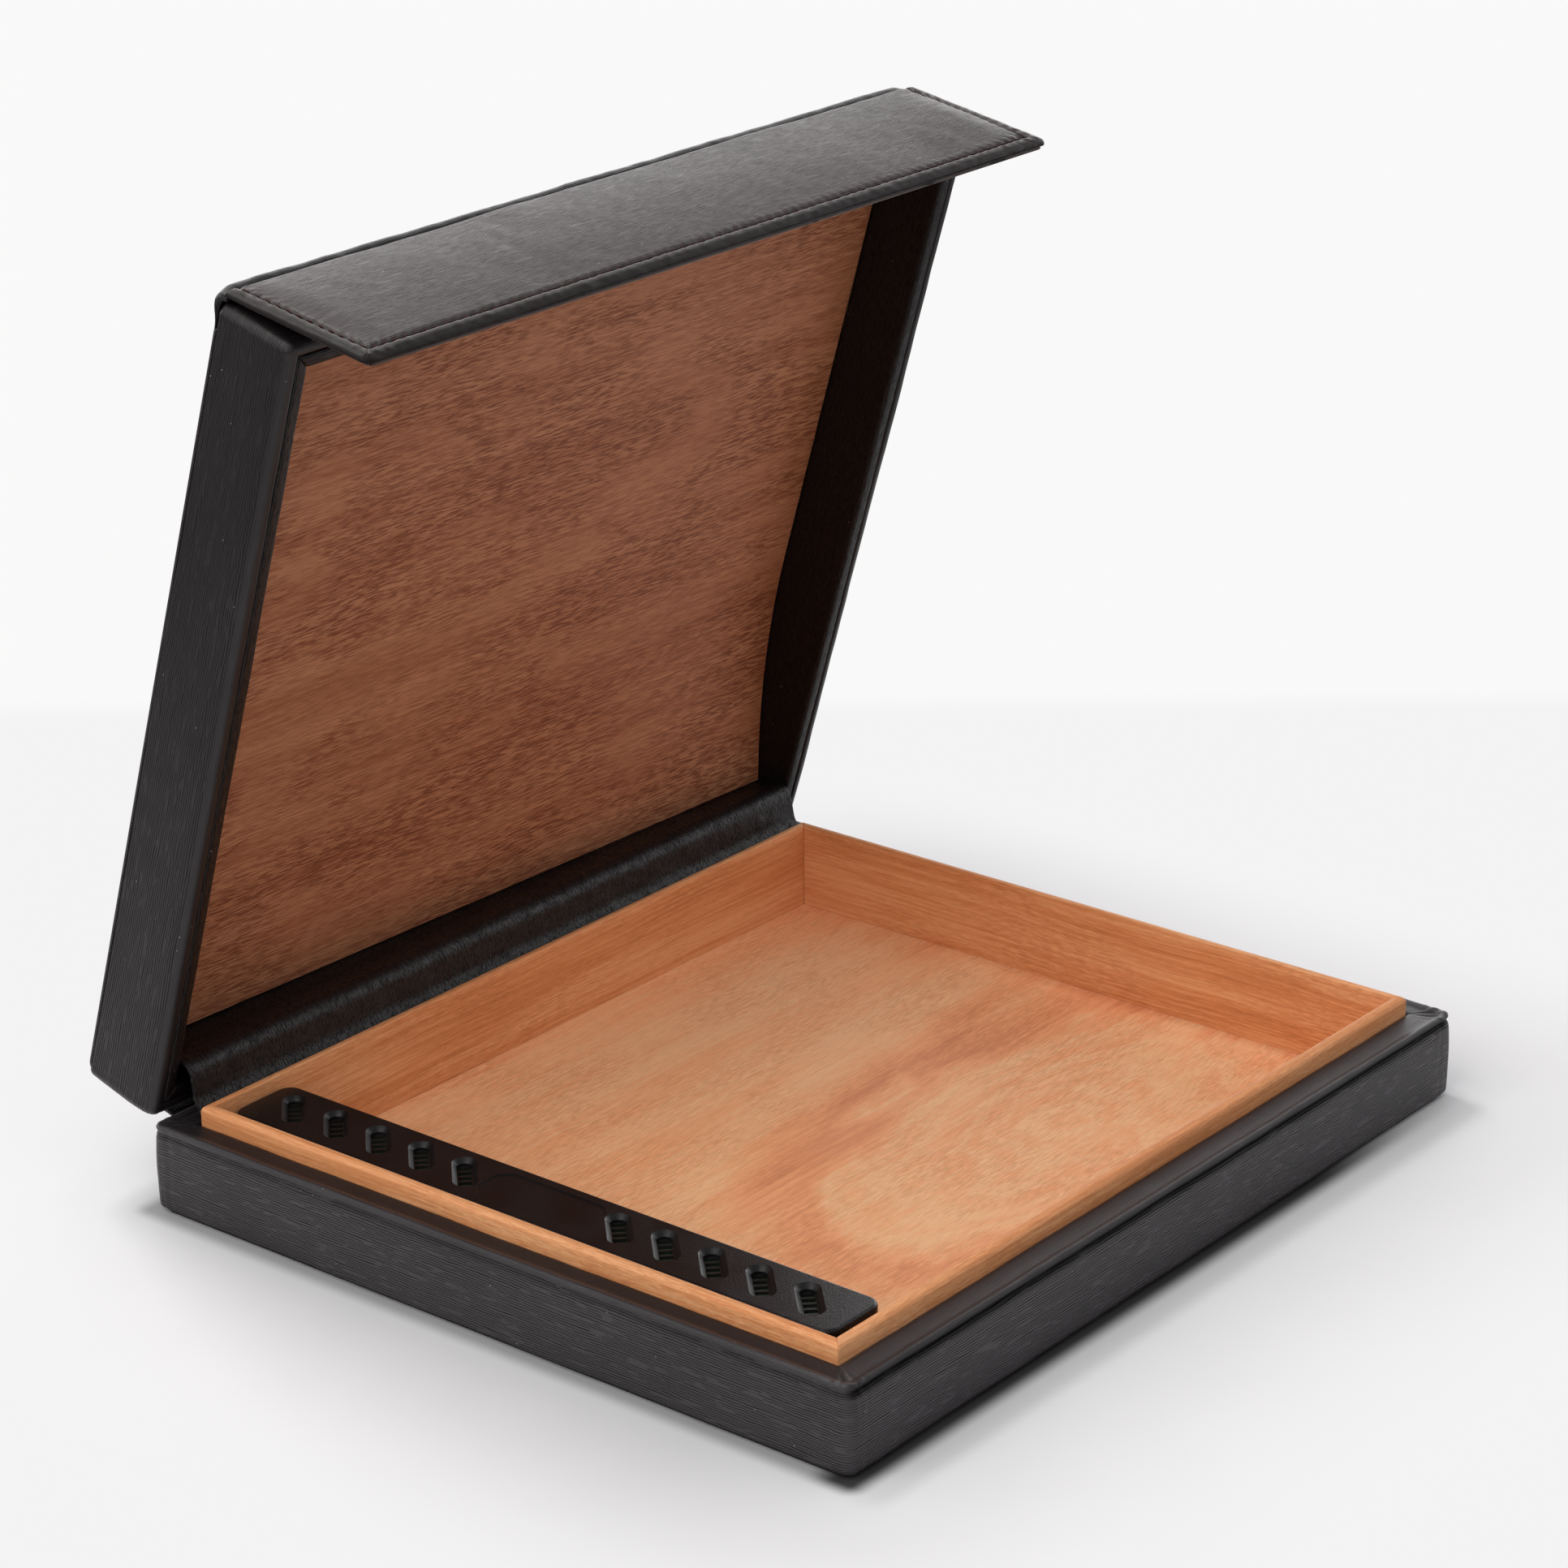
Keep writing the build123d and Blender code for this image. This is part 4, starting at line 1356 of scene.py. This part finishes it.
@dataclass
class Hinge:
    """The leather that joins base and lid: a spine outside and a strip inside."""

    spine_half: float = 114.0
    strip_half: float = 116.5

    @staticmethod
    def on_lid(along: float, up: float) -> tuple[float, float]:
        """A point of the lid's section in the shared frame's y and z, in millimetres."""
        point = LID_FRAME.origin - LID_FRAME.y_axis * along + LID_FRAME.z_axis * up
        return float(point[1]), float(point[2])

    def build(self) -> None:
        """Builds and dresses both strips, each of which bends where the lid turns.

        Their lines are y and z in the shared frame, from the lid down to the base.
        """
        spine_line = filleted(
            [self.on_lid(-1.25, 21.4), self.on_lid(-3.9, 11.5), (110.3, 20.4), (110.0, 13.0),
             (108.75, 7.7)],
            [9.0, 2.5, 9.0], 0.7,
        )
        spine = SweptLeather(
            "spine_leather_strip", spine_line[::-1], 1.2, self.spine_half,
            [(9.0, 0.15, 41), (3.5, 0.06, 42)],
        ).build()
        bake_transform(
            spine, Body.BASE.value, Body.LID.value,
            start=(0, 0.1100, 0.0170), end=(0, 0.1145, 0.0275),
        )
        hide = Leather("spine_pressed_leather", "#292324", "#0a0809").material()
        settle(spine, Body.BASE, Slot.OUTER_LEATHER, hide, "spine_leather")

        strip_line = filleted(
            [self.on_lid(8.6, 17.4), self.on_lid(9.2, 9.5), (102.5, 37.1), (100.9, 27.5),
             (98.15, 24.2), (98.15, 12.0)],
            [8.0, 3.2, 6.0, 3.0], 0.6,
        )
        strip = SweptLeather(
            "inner_hinge_strip", strip_line, 0.9, self.strip_half,
            [(8.0, 0.22, 51), (3.0, 0.08, 52)], wrinkle=0.14,
        ).build()
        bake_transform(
            strip, Body.BASE.value, Body.LID.value,
            start=(0, 0.0995, 0.0262), end=(0, 0.1075, 0.0365),
        )
        soft = Leather(
            "hinge_lining_leather", "#130c0c", "#050303", grain_length=6.0, grain_pitch=0.6,
            crinkle=0.65, depth=0.08, gloss=0.4, specular=0.32, dust=0.6, turn=(0.0, 0.0, 90.0),
        ).material()
        settle(strip, Body.BASE, Slot.LINING_LEATHER, soft, "inner_hinge_leather")


@dataclass
class ClosingFlap:
    """The padded flap: crowned cover with rolled, sewn edges, padding, lining and its fold."""

    half_x: float = 125.5
    root: float = 1.0
    tip: float = 45.0
    corner: float = 2.4
    underside: float = 0.95
    skin: float = 1.0
    back_corner: float = 0.6
    crown: float = 1.3
    taper: float = 0.2
    seam_inset: float = 4.3
    pad_inset: float = 6.5
    pad_foot: float = 1.97
    stitch_pitch: float = 3.25
    stitch_length: float = 2.7
    thread: float = 0.6

    @property
    def mid_y(self) -> float:
        """The flap's middle along Y of its frame."""
        return -(self.root + self.tip) / 2

    @property
    def half_y(self) -> float:
        """Half the flap's length from fold to tip."""
        return (self.tip - self.root) / 2

    def from_edge(self, x: Array, y: Array) -> Array:
        """Distance in from the left, front and right edges and their rounded corners.

        Args:
            x: Places along the hinge.
            y: Places from the flap's middle towards the fold.

        Returns:
            The distance to the nearest of the three edges, measured from the arc at a corner.
        """
        from_x = self.half_x - np.abs(x)
        from_y = y + self.half_y
        in_x, in_y = np.clip(self.corner - from_x, 0, None), np.clip(self.corner - from_y, 0, None)
        return np.where(
            (in_x > 0) & (in_y > 0), self.corner - np.hypot(in_x, in_y), np.minimum(from_x, from_y)
        )

    def top_level(self, x: Array, y: Array) -> Array:
        """The height of the padded face.

        The rolled edge is part of an ellipse across the first millimetres, and the flap thins
        towards the fold. The sewn line is a groove, a squared window round the seam's inset.
        Inside it the padding is bowed from the tip to the fold like a parabola.

        Args:
            x: Places along the hinge.
            y: Places from the flap's middle towards the fold.

        Returns:
            Levels above the flap's underside plane.
        """
        inset = self.from_edge(x, y)
        from_fold = self.half_y - y
        roll = 2.95 - 0.5 * np.clip(1 - (inset - 1.0) / 2.2, 0, 1) ** 2
        roll = roll - 0.15 * np.clip((inset - 3.2) / 1.1, 0, 1)
        roll = roll - self.taper * np.clip(1 - from_fold / (2 * self.half_y), 0, 1)
        rise = np.clip((self.half_x - np.abs(x) - self.seam_inset) / 9.0, 0, 1)
        bow = np.clip((2 * self.half_y - self.seam_inset - from_fold) / (self.half_y - 2.0), 0, 2)
        crown = self.crown * rise * (2 - rise) * (1 - (1 - bow) ** 2)
        groove = 0.5 * window(inset - self.seam_inset, 1.3)
        return roll + crown - groove - 0.1 * window(from_fold, 2.0)

    def cover(self) -> bpy.types.Object:
        """The cover: one leather skin over the padding, turned under at its edges.

        Its rings follow the outline inwards to a line. Each point's level comes from its place,
        so the roll, the sewn groove and the crown run on unbroken round the corners. The leather
        puckers beside the seam, a cosine of the distance over the stitch pitch.

        Returns:
            The new piece.
        """
        path = RoundedPath(self.half_x, self.half_y, self.corner, coarse=1.1)
        place, normal, distance = path.trace()
        edge = [
            (0.9, 0.95), (0.45, 0.98), (0.12, 1.2), (0.0, 1.5), (0.12, 1.85), (0.45, 2.2),
            (1.0, 2.45),
        ]
        edge = resampled(smooth_curve(edge, 8), 0.25)
        inward = np.concatenate([np.linspace(1.2, 7.0, 26), np.linspace(7.4, self.half_y, 25)])
        inset = np.concatenate([edge[:, 0], inward])
        share = np.concatenate([(edge[:, 1] - 0.95) / (edge[-1, 1] - 0.95), np.ones(len(inward))])
        corner = np.where(place[:, 1:] > 0.999, self.back_corner, path.corner)
        radius = np.maximum(corner - inset, 0.12 * (1 - inset / self.half_y))
        x = place[:, :1] * (self.half_x - inset - radius) + normal[:, :1] * radius
        y = place[:, 1:] * (self.half_y - inset - radius) + normal[:, 1:] * radius
        level = self.underside + (self.top_level(x, y) - self.underside) * share
        spot = np.stack([x, y, level], axis=-1)
        normals = grid_normals(spot, wrap_u=True)
        # The innermost rings close on the line and have no width of their own at its ends.
        normals[:, -6:] = (0.0, 0.0, 1.0)
        depth = self.from_edge(x, y)
        puckers = window(depth - self.seam_inset, 3.6)
        wave = np.cos(2 * math.pi * (distance[:-1] / self.stitch_pitch))[:, None]
        pad = np.clip((depth - 3.0) / 4.0, 0, 1)
        stand = rumpled(spot, [(30.0, 0.3, 61), (11.0, 0.1, 62)]) * pad
        stand = stand + rumpled(spot, [(4.0, 0.05, 63)]) + 0.1 * puckers * wave
        stand = stand + (1 - pad) * rumpled(spot, [(1.3, 0.1, 64)])
        edges = np.clip(np.arange(len(inset)) / 4, 0, 1)
        points = spot + normals * (stand * edges)[..., None]
        hidden = points[:, :: -max(len(inset) // 8, 1)].copy()
        hidden[..., 2] = np.maximum(hidden[..., 2] - self.skin, self.underside)
        squeeze = (self.skin + 0.1) / np.array([self.half_x, self.half_y])
        hidden[..., :2] *= 1 - squeeze
        points = np.concatenate([hidden, points], axis=1)
        points[..., 1] += self.mid_y
        uv = np.vstack([points[..., :2], points[:1, :, :2]]) * MM
        grain = np.concatenate([np.ones(hidden.shape[:2]), 0.3 + 0.7 * pad], axis=1)
        # Painted shade: dark in the sewn groove and on the rolled edge, where shade falls.
        dark = 0.85 * window(depth - self.seam_inset, 0.9)
        dark = dark + 0.72 * np.clip((2.9 - depth) / 1.2, 0, 1)
        painted_shade = np.concatenate([np.zeros(hidden.shape[:2]), dark], axis=1)
        return make_surface(
            "flap_padded_cover", FLAP_FRAME.to_row(points), uv, wrap_u=True,
            grain=grain, painted_shade=painted_shade,
        )

    def stitches(self) -> bpy.types.Object:
        """The thread: a short sunken capsule for each stitch along the left, front and right.

        Along a stitch t runs from -1 to 1. It stands up by 0.22 - 0.55 |t|^3 and swells to the
        thread's radius times the root of 1 - t^4.

        Returns:
            The new piece, with each stitch's own map along it and round it.
        """
        half_x, half_y = self.half_x - self.seam_inset, self.half_y - self.seam_inset
        root, bend = half_y + 3.2, 1.2
        run = [(-half_x, root), (-half_x, -half_y), (half_x, -half_y), (half_x, root)]
        line = filleted(run, [bend, bend], 0.2)
        distance = curve_length(line)
        count = int(distance[-1] / self.stitch_pitch)
        middle = (np.arange(count) + 0.5) * self.stitch_pitch
        along = np.linspace(-0.5, 0.5, 7)
        at = middle[:, None] + along * self.stitch_length
        x, y = (np.interp(at, distance, axis) for axis in line.T)
        flat = np.stack([x, y], -1)
        tangent = np.gradient(flat, axis=1)
        tangent /= np.linalg.norm(tangent, axis=-1, keepdims=True)
        across = np.stack([-tangent[..., 1], tangent[..., 0]], -1)
        arch = 0.22 - 0.55 * (2 * np.abs(along)) ** 3
        swell = np.sqrt(np.clip(1 - (2 * np.abs(along)) ** 4, 0.05, 1)) * self.thread / 2
        turn = np.linspace(0, 2 * math.pi, 6, endpoint=False)
        ring_side = swell[None, :, None] * np.cos(turn)
        ring_up = swell[None, :, None] * np.sin(turn)
        place = flat[:, :, None] + across[:, :, None] * ring_side[..., None]
        level = self.top_level(x, y)[..., None] + arch[None, :, None] + ring_up
        points = np.concatenate([place, level[..., None]], axis=-1)
        points[..., 1] += self.mid_y
        rows, turns = len(along), len(turn)
        i, j = np.meshgrid(np.arange(rows - 1), np.arange(turns), indexing="ij")
        corners = [(i, j), (i + 1, j), (i + 1, (j + 1) % turns), (i, (j + 1) % turns)]
        quad = np.stack([a * turns + b for a, b in corners], -1).reshape(-1, 4)
        faces = (np.arange(count)[:, None, None] * rows * turns + quad).reshape(-1, 4)
        mesh = bpy.data.meshes.new("flap_stitching")
        mesh.from_pydata(FLAP_FRAME.to_row(points.reshape(-1, 3)), [], faces)
        corner_u = np.stack([i, i + 1, i + 1, i], -1) * self.stitch_length / (rows - 1)
        corner_v = np.stack([j, j, j + 1, j + 1], -1) * self.thread * math.pi / turns
        uv = np.tile(np.stack([corner_u, corner_v], -1).reshape(-1, 2), (count, 1)) * MM
        mesh.uv_layers.new(name="UVMap").data.foreach_set("uv", uv.reshape(-1).astype(np.float32))
        return finish_mesh("flap_stitching", mesh)

    def padding(self) -> bpy.types.Object:
        """The foam under the cover: a crowned slab, flat on the stiffener.

        Returns:
            The new piece.
        """
        half_x, half_y = self.half_x - self.pad_inset, self.half_y - self.pad_inset
        corner = 1.4
        path = RoundedPath(half_x, half_y, corner, fine=1.0, coarse=4.0, corner_steps=6)
        place, normal, _ = path.trace()
        inset = np.concatenate([[half_y, 0.6, 0.0], np.linspace(0.3, half_y, 14)])
        radius = np.maximum(corner - inset, 0.1 * (1 - inset / half_y))
        x = place[:, None, 0] * (half_x - inset - radius) + normal[:, None, 0] * radius
        y = place[:, None, 1] * (half_y - inset - radius) + normal[:, None, 1] * radius
        level = np.clip(self.top_level(x, y) - self.skin - 0.15, self.pad_foot, None)
        level[:, :3] = self.pad_foot
        points = np.stack([x, y + self.mid_y, level], -1)
        uv = np.stack([np.vstack([x, x[:1]]), np.vstack([y, y[:1]])], -1) * MM
        return make_surface("flap_padding_foam", FLAP_FRAME.to_row(points), uv, wrap_u=True)

    def fold(self) -> bpy.types.Object:
        """The rolled leather over the lid's front edge, a ridge that ends in the flap's crease.

        Returns:
            The new piece.
        """
        ridge = [
            (207.3, 22.92), (209.4, 23.1), (211.4, 23.9), (213.2, 24.9), (214.9, 25.3),
            (216.2, 24.7), (216.9, 23.6), (217.1, 22.4), (216.95, 21.3), (216.3, 20.4),
            (215.5, 20.0),
        ]
        core = [(207.3, 22.0), (213.2, 22.0), (214.4, 21.6), (214.7, 20.8), (214.9, 20.2)]
        line, core = (np.array([Hinge.on_lid(a, h) for a, h in run]) for run in (ridge, core))
        line = resampled(smooth_curve([tuple(p) for p in line], 12), 0.4)
        # shade below is painted shade on the middle of the roll.
        return SweptLeather(
            "flap_fold_roll", line[::-1], 1.1, self.half_x - 0.6,
            [(7.0, 0.14, 71), (2.5, 0.05, 72)], wrinkle=0.05, rounding=1.3, core=core[::-1],
            core_reach=5.0, sink=0.3, shade=0.6,
        ).build()

    def build(self) -> None:
        """Builds and dresses the flap's pieces."""
        hide = Leather(
            "flap_pressed_leather", "#342a28", "#211a19", grain_length=14.0, grain_pitch=0.5,
            waviness=5.0, crinkle=0.4, depth=0.05, gloss=0.42, specular=0.5, pore_share=0.1,
        ).material()
        cover = self.cover()
        settle(cover, Body.FLAP, Slot.OUTER_LEATHER, hide, "flap_outer_leather")
        foam = Moulded("flap_foam", "#b9b4a4", "#a39d8c", 0.9, 0.5, 0.1).material()
        pad = self.padding()
        settle(pad, Body.FLAP, Slot.PADDING, foam, "flap_padding")
        sewn = Thread("waxed_thread", "#43201c", "#160807").material()
        settle(self.stitches(), Body.FLAP, Slot.OUTER_LEATHER, sewn)
        fold = self.fold()
        start = LID_FRAME.to_row((0, -211.0, 23.5))
        end = FLAP_FRAME.to_row((0, -5.0, 3.0))
        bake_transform(fold, Body.LID.value, Body.FLAP.value, start=tuple(start), end=tuple(end))
        # Darker and duller than the other leather: painted shade on the ridge, which lies in shade.
        dark = Leather(
            "fold_painted_shade_leather", "#161213", "#090707", depth=0.06, gloss=0.34, specular=0.28,
        ).material()
        settle(fold, Body.LID, Slot.OUTER_LEATHER, dark, "flap_fold_leather")
        under = Leather(
            "flap_lining_leather", "#3a2a26", "#1c1210", on=Coordinates.OBJECT, grain_length=6.0,
            grain_pitch=0.9, depth=0.06, dust=0.2, turn=(-10.8, 0.0, 0.0),
        ).material()
        lining = eased_copy("flap_lining", "flap_lining_sheet", 0.25)
        settle(lining, Body.FLAP, Slot.LINING_LEATHER, under, "flap_lining")


@dataclass
class Humidifier:
    """The slotted bar: a moulded case over a ribbed grille and its foam."""

    edge: float = 0.12

    def build(self) -> None:
        """Builds and dresses the bar's pieces."""
        case = Moulded("bar_plastic", "#171516", "#0e0c0d", 0.36, 0.5, 0.07, 0.28).material()
        shell = eased_copy("humidifier_case", "humidifier_bar_case", self.edge)
        settle(shell, Body.HUMIDIFIER, Slot.PLASTIC, case, "humidifier_case")
        inner = {
            "grille": Moulded("grille_plastic", "#1d1b1a", "#141211", 0.4, 0.4, 0.03),
            "bottom_cover": Moulded("cover_plastic", "#262020", "#1c1818", 0.4, 0.4, 0.03),
            "foam": Moulded("wet_foam", "#235338", "#102a1a", 0.7, 0.5, 0.3),
        }
        for node, finish in inner.items():
            dress(frame["nodes"]["humidifier_" + node], finish.material())


@dataclass
class Hidden:
    """The boards, magnets and plates inside, which show only where the part is opened up."""

    boards: tuple[str, ...] = ("board", "wall", "stiffener")
    metals: tuple[str, ...] = ("magnets", "plates")

    def build(self) -> None:
        """Dresses each hidden node by the last word of its name, which says what it is."""
        card = Moulded("pressed_board", "#9a7b58", "#7e6244", 0.85, 0.6, 0.15).material()
        steel = Palette("plated_steel")
        speck = steel.noise(steel.place(Coordinates.OBJECT, (1.2,) * 3), 3.0)
        plated = steel.paint(
            Base_Color=steel.tint(speck, linear("#8d9093"), linear("#a9acb0")), Metallic=1.0,
            Roughness=steel.spread(speck, 0.3, 0.7, (0.28, 0.4)),
        )
        for name, node in frame["nodes"].items():
            kind = name.rsplit("_", 1)[-1]
            if not node.hide_render and kind in self.boards + self.metals:
                dress(node, plated if kind in self.metals else card)


@dataclass
class Studio:
    """Camera, lights and floor. Lengths are millimetres."""

    camera: tuple[float, float, float] = (-816.2856, -647.9572, 508.5563)
    aim: tuple[float, float, float] = (37.0592, 40.0, 77.3373)
    roll: float = -0.0079895
    lens: float = 106.09
    sensor: float = 36.0
    lit_point: tuple[float, float, float] = (0.0, 0.0, 60.0)
    footprint: tuple[float, float] = (125.0, 107.5)
    floor_half: float = 6000.0
    sky_strength: float = 0.62
    backdrop_shine: float = 2.8
    room_shine: float = 0.5
    view_turn: float = 38.9
    table_end: float = 318.0
    table_reach: float = 640.0
    shadow_reach: tuple[float, float] = (22.0, 95.0)
    # How far the painted contact shadow reaches, in millimetres.
    painted_contact_reach: float = 6.0

    def make_camera(self) -> None:
        """Places the camera.

        It looks from its place at its aim. Its right axis is the view crossed with Z, turned
        about the view by the roll.
        """
        view = np.array(self.aim) - np.array(self.camera)
        view /= np.linalg.norm(view)
        right = np.cross(view, (0, 0, 1))
        right /= np.linalg.norm(right)
        up = np.cross(right, view)
        turned_right = right * math.cos(self.roll) + up * math.sin(self.roll)
        turned_up = up * math.cos(self.roll) - right * math.sin(self.roll)
        data = bpy.data.cameras.new("photo_camera")
        data.lens, data.sensor_width = self.lens, self.sensor
        data.clip_start, data.clip_end = 0.05, 50.0
        camera = bpy.data.objects.new("photo_camera", data)
        matrix = np.eye(4)
        matrix[:3, :3] = np.stack([turned_right, turned_up, -view], axis=1)
        matrix[:3, 3] = np.array(self.camera) * MM
        camera.matrix_world = Matrix(matrix.tolist())
        bpy.context.scene.collection.objects.link(camera)
        bpy.context.scene.camera = camera

    def make_lamp(
        self, name: str, place: tuple[float, float, float], size: float, power: float, colour: str
    ) -> None:
        """Adds a square area lamp that shines at the object.

        Args:
            name: The lamp's name.
            place: Its middle.
            size: Its side.
            power: Its power in watts.
            colour: Its screen colour.
        """
        data = bpy.data.lights.new(name, "AREA")
        data.shape, data.size, data.energy = "SQUARE", size * MM, power
        data.color = linear(colour)[:3]
        lamp = bpy.data.objects.new(name, data)
        lamp.location = Vector(place) * MM
        lamp.rotation_mode = "QUATERNION"
        towards = Vector(self.lit_point) - Vector(place)
        lamp.rotation_quaternion = towards.to_track_quat("-Z", "Y")
        bpy.context.scene.collection.objects.link(lamp)

    def make_lights(self) -> None:
        """A broad window on the object's left, a smaller one behind it, and an even sky.

        The sky lights the object at sky_strength, and the camera sees it white. Reflections see
        a dim room with the lit backdrop behind the object: bright near the horizon, on the far
        side, and falling to nothing with a smooth step of the height.
        """
        self.make_lamp("left_window", (-1050.0, 60.0, 1050.0), 1300.0, 11.0, "#fffdf9")
        self.make_lamp("back_window", (160.0, 760.0, 1450.0), 450.0, 9.0, "#fffdfb")
        world = bpy.data.worlds.new("studio_sky")
        world.use_nodes = True
        graph = Graph(world.node_tree)
        sky = graph.tree.nodes["Background"]
        sky.inputs["Color"].default_value = linear("#fbfafb")
        heading = graph.node("TexCoord", {}).outputs["Generated"]
        turn = math.radians(self.view_turn)
        ahead = graph.vector("DOT_PRODUCT", heading, (math.cos(turn), math.sin(turn), 0.0))
        height = graph.node("SeparateXYZ", {0: heading}).outputs[2]
        low = graph.spread(height, 0.2, 0.67, (self.backdrop_shine, 0.0))
        mirrored = graph.sum("MULTIPLY", low, graph.spread(ahead, 0.1, 0.5))
        mirrored = graph.sum("ADD", mirrored, self.room_shine)
        paths = graph.node("LightPath", {}).outputs
        seen = graph.sum("ADD", paths["Is Camera Ray"], paths["Is Transmission Ray"])
        lit = graph.node("Mix", {0: seen, 2: self.sky_strength, 3: 1.0}).outputs[0]
        strength = graph.node("Mix", {0: paths["Is Glossy Ray"], 2: lit, 3: mirrored})
        graph.tree.links.new(strength.outputs[0], sky.inputs["Strength"])
        bpy.context.scene.world = world

    def make_floor(self) -> None:
        """Lays a pale table under the object."""
        half = self.floor_half * MM
        mesh = bpy.data.meshes.new("pale_floor")
        corners = [(-half, -half, 0.0), (half, -half, 0.0), (half, half, 0.0), (-half, half, 0.0)]
        mesh.from_pydata(corners, [], [(0, 1, 2, 3)])
        floor = bpy.data.objects.new("pale_floor", mesh)
        bpy.context.scene.collection.objects.link(floor)
        mesh.materials.append(self.table())

    def table(self) -> bpy.types.Material:
        """Makes the table's material, which ends at a white backdrop behind the object.

        The table takes the object's shadow where it lies near, and evens out away from it. A
        painted contact shadow darkens it in the crevice under the object's edge, most of all along
        the front. In reflections it darkens past its edge, as in a dim room.

        Returns:
            The material.
        """
        mix = Palette("pale_board")
        scuffs = mix.noise(mix.place(Coordinates.OBJECT, (0.02, 0.02, 0.02)), 4.0, 0.6)
        colour = mix.tint(mix.spread(scuffs, 0.3, 0.7), linear("#e4e4e6"), linear("#e6e6e8"))
        place = mix.place(Coordinates.OBJECT, (1.0, 1.0, 1.0))
        paths = mix.node("LightPath", {}).outputs
        direct = mix.sum("MAXIMUM", paths["Is Glossy Ray"], paths["Is Transmission Ray"])
        direct = mix.sum("MAXIMUM", paths["Is Camera Ray"], direct)
        outside = mix.vector("SUBTRACT", mix.vector("ABSOLUTE", place), (*self.footprint, 0.0))
        apart = mix.vector("LENGTH", mix.vector("MAXIMUM", outside, (0.0,) * 3))
        even = mix.sum("MULTIPLY", mix.spread(apart, *self.shadow_reach), direct)
        sides = mix.node("SeparateXYZ", {0: place}).outputs
        # Painted contact shadow: the colour goes to #2a2a2c at the object's edge, most of all along the
        # front.
        close = mix.spread(sides[1], -104.0, -96.0, (0.97, 0.5))
        close = mix.sum("MULTIPLY", close, mix.spread(sides[0], 60.0, 124.0, (1.0, 0.1)))
        close = mix.sum("MULTIPLY", close, mix.spread(apart, 0.5, self.painted_contact_reach, (1.0, 0.0)))
        close = mix.sum("MULTIPLY", close, direct)
        material = mix.paint(
            Base_Color=mix.tint(close, colour, linear("#2a2a2c")), Roughness=0.6,
            Specular_IOR_Level=0.1,
        )
        turned = mix.place(Coordinates.OBJECT, (1.0,) * 3, (0.0, 0.0, -self.view_turn))
        away = mix.node("SeparateXYZ", {0: turned}).outputs[0]
        end = mix.spread(away, self.table_end - 12.0, self.table_end + 12.0)
        backdrop = mix.tint(end, linear("#f4f3f4"), linear("#faf9f9"))
        plain = mix.node("Emission", {0: backdrop, 1: 1.0})
        shown = mix.node("MixShader", {0: even, 1: mix.shader.outputs[0], 2: plain.outputs[0]})
        reach = mix.vector("LENGTH", place)
        beyond = mix.spread(reach, self.table_reach * 0.5, self.table_reach, (0.0, 0.85))
        dim = mix.sum("MULTIPLY", beyond, paths["Is Glossy Ray"])
        dark = mix.node("Emission", {0: linear("#141414"), 1: 1.0})
        seen = mix.node("MixShader", {0: dim, 1: shown.outputs[0], 2: dark.outputs[0]})
        mix.tree.links.new(seen.outputs[0], mix.tree.nodes["Material Output"].inputs["Surface"])
        return material

    def build(self) -> None:
        """Sets up the studio and the view's colour handling."""
        self.make_camera()
        self.make_lights()
        self.make_floor()
        bpy.context.scene.view_settings.view_transform = "Standard"


def main() -> None:
    """Builds the object part by part."""
    logging.basicConfig(level=logging.INFO, format="%(message)s")
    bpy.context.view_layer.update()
    Studio().build()
    Base().build()
    Lid().build()
    Hinge().build()
    ClosingFlap().build()
    Humidifier().build()
    Hidden().build()


if __name__ == "__main__":
    main()
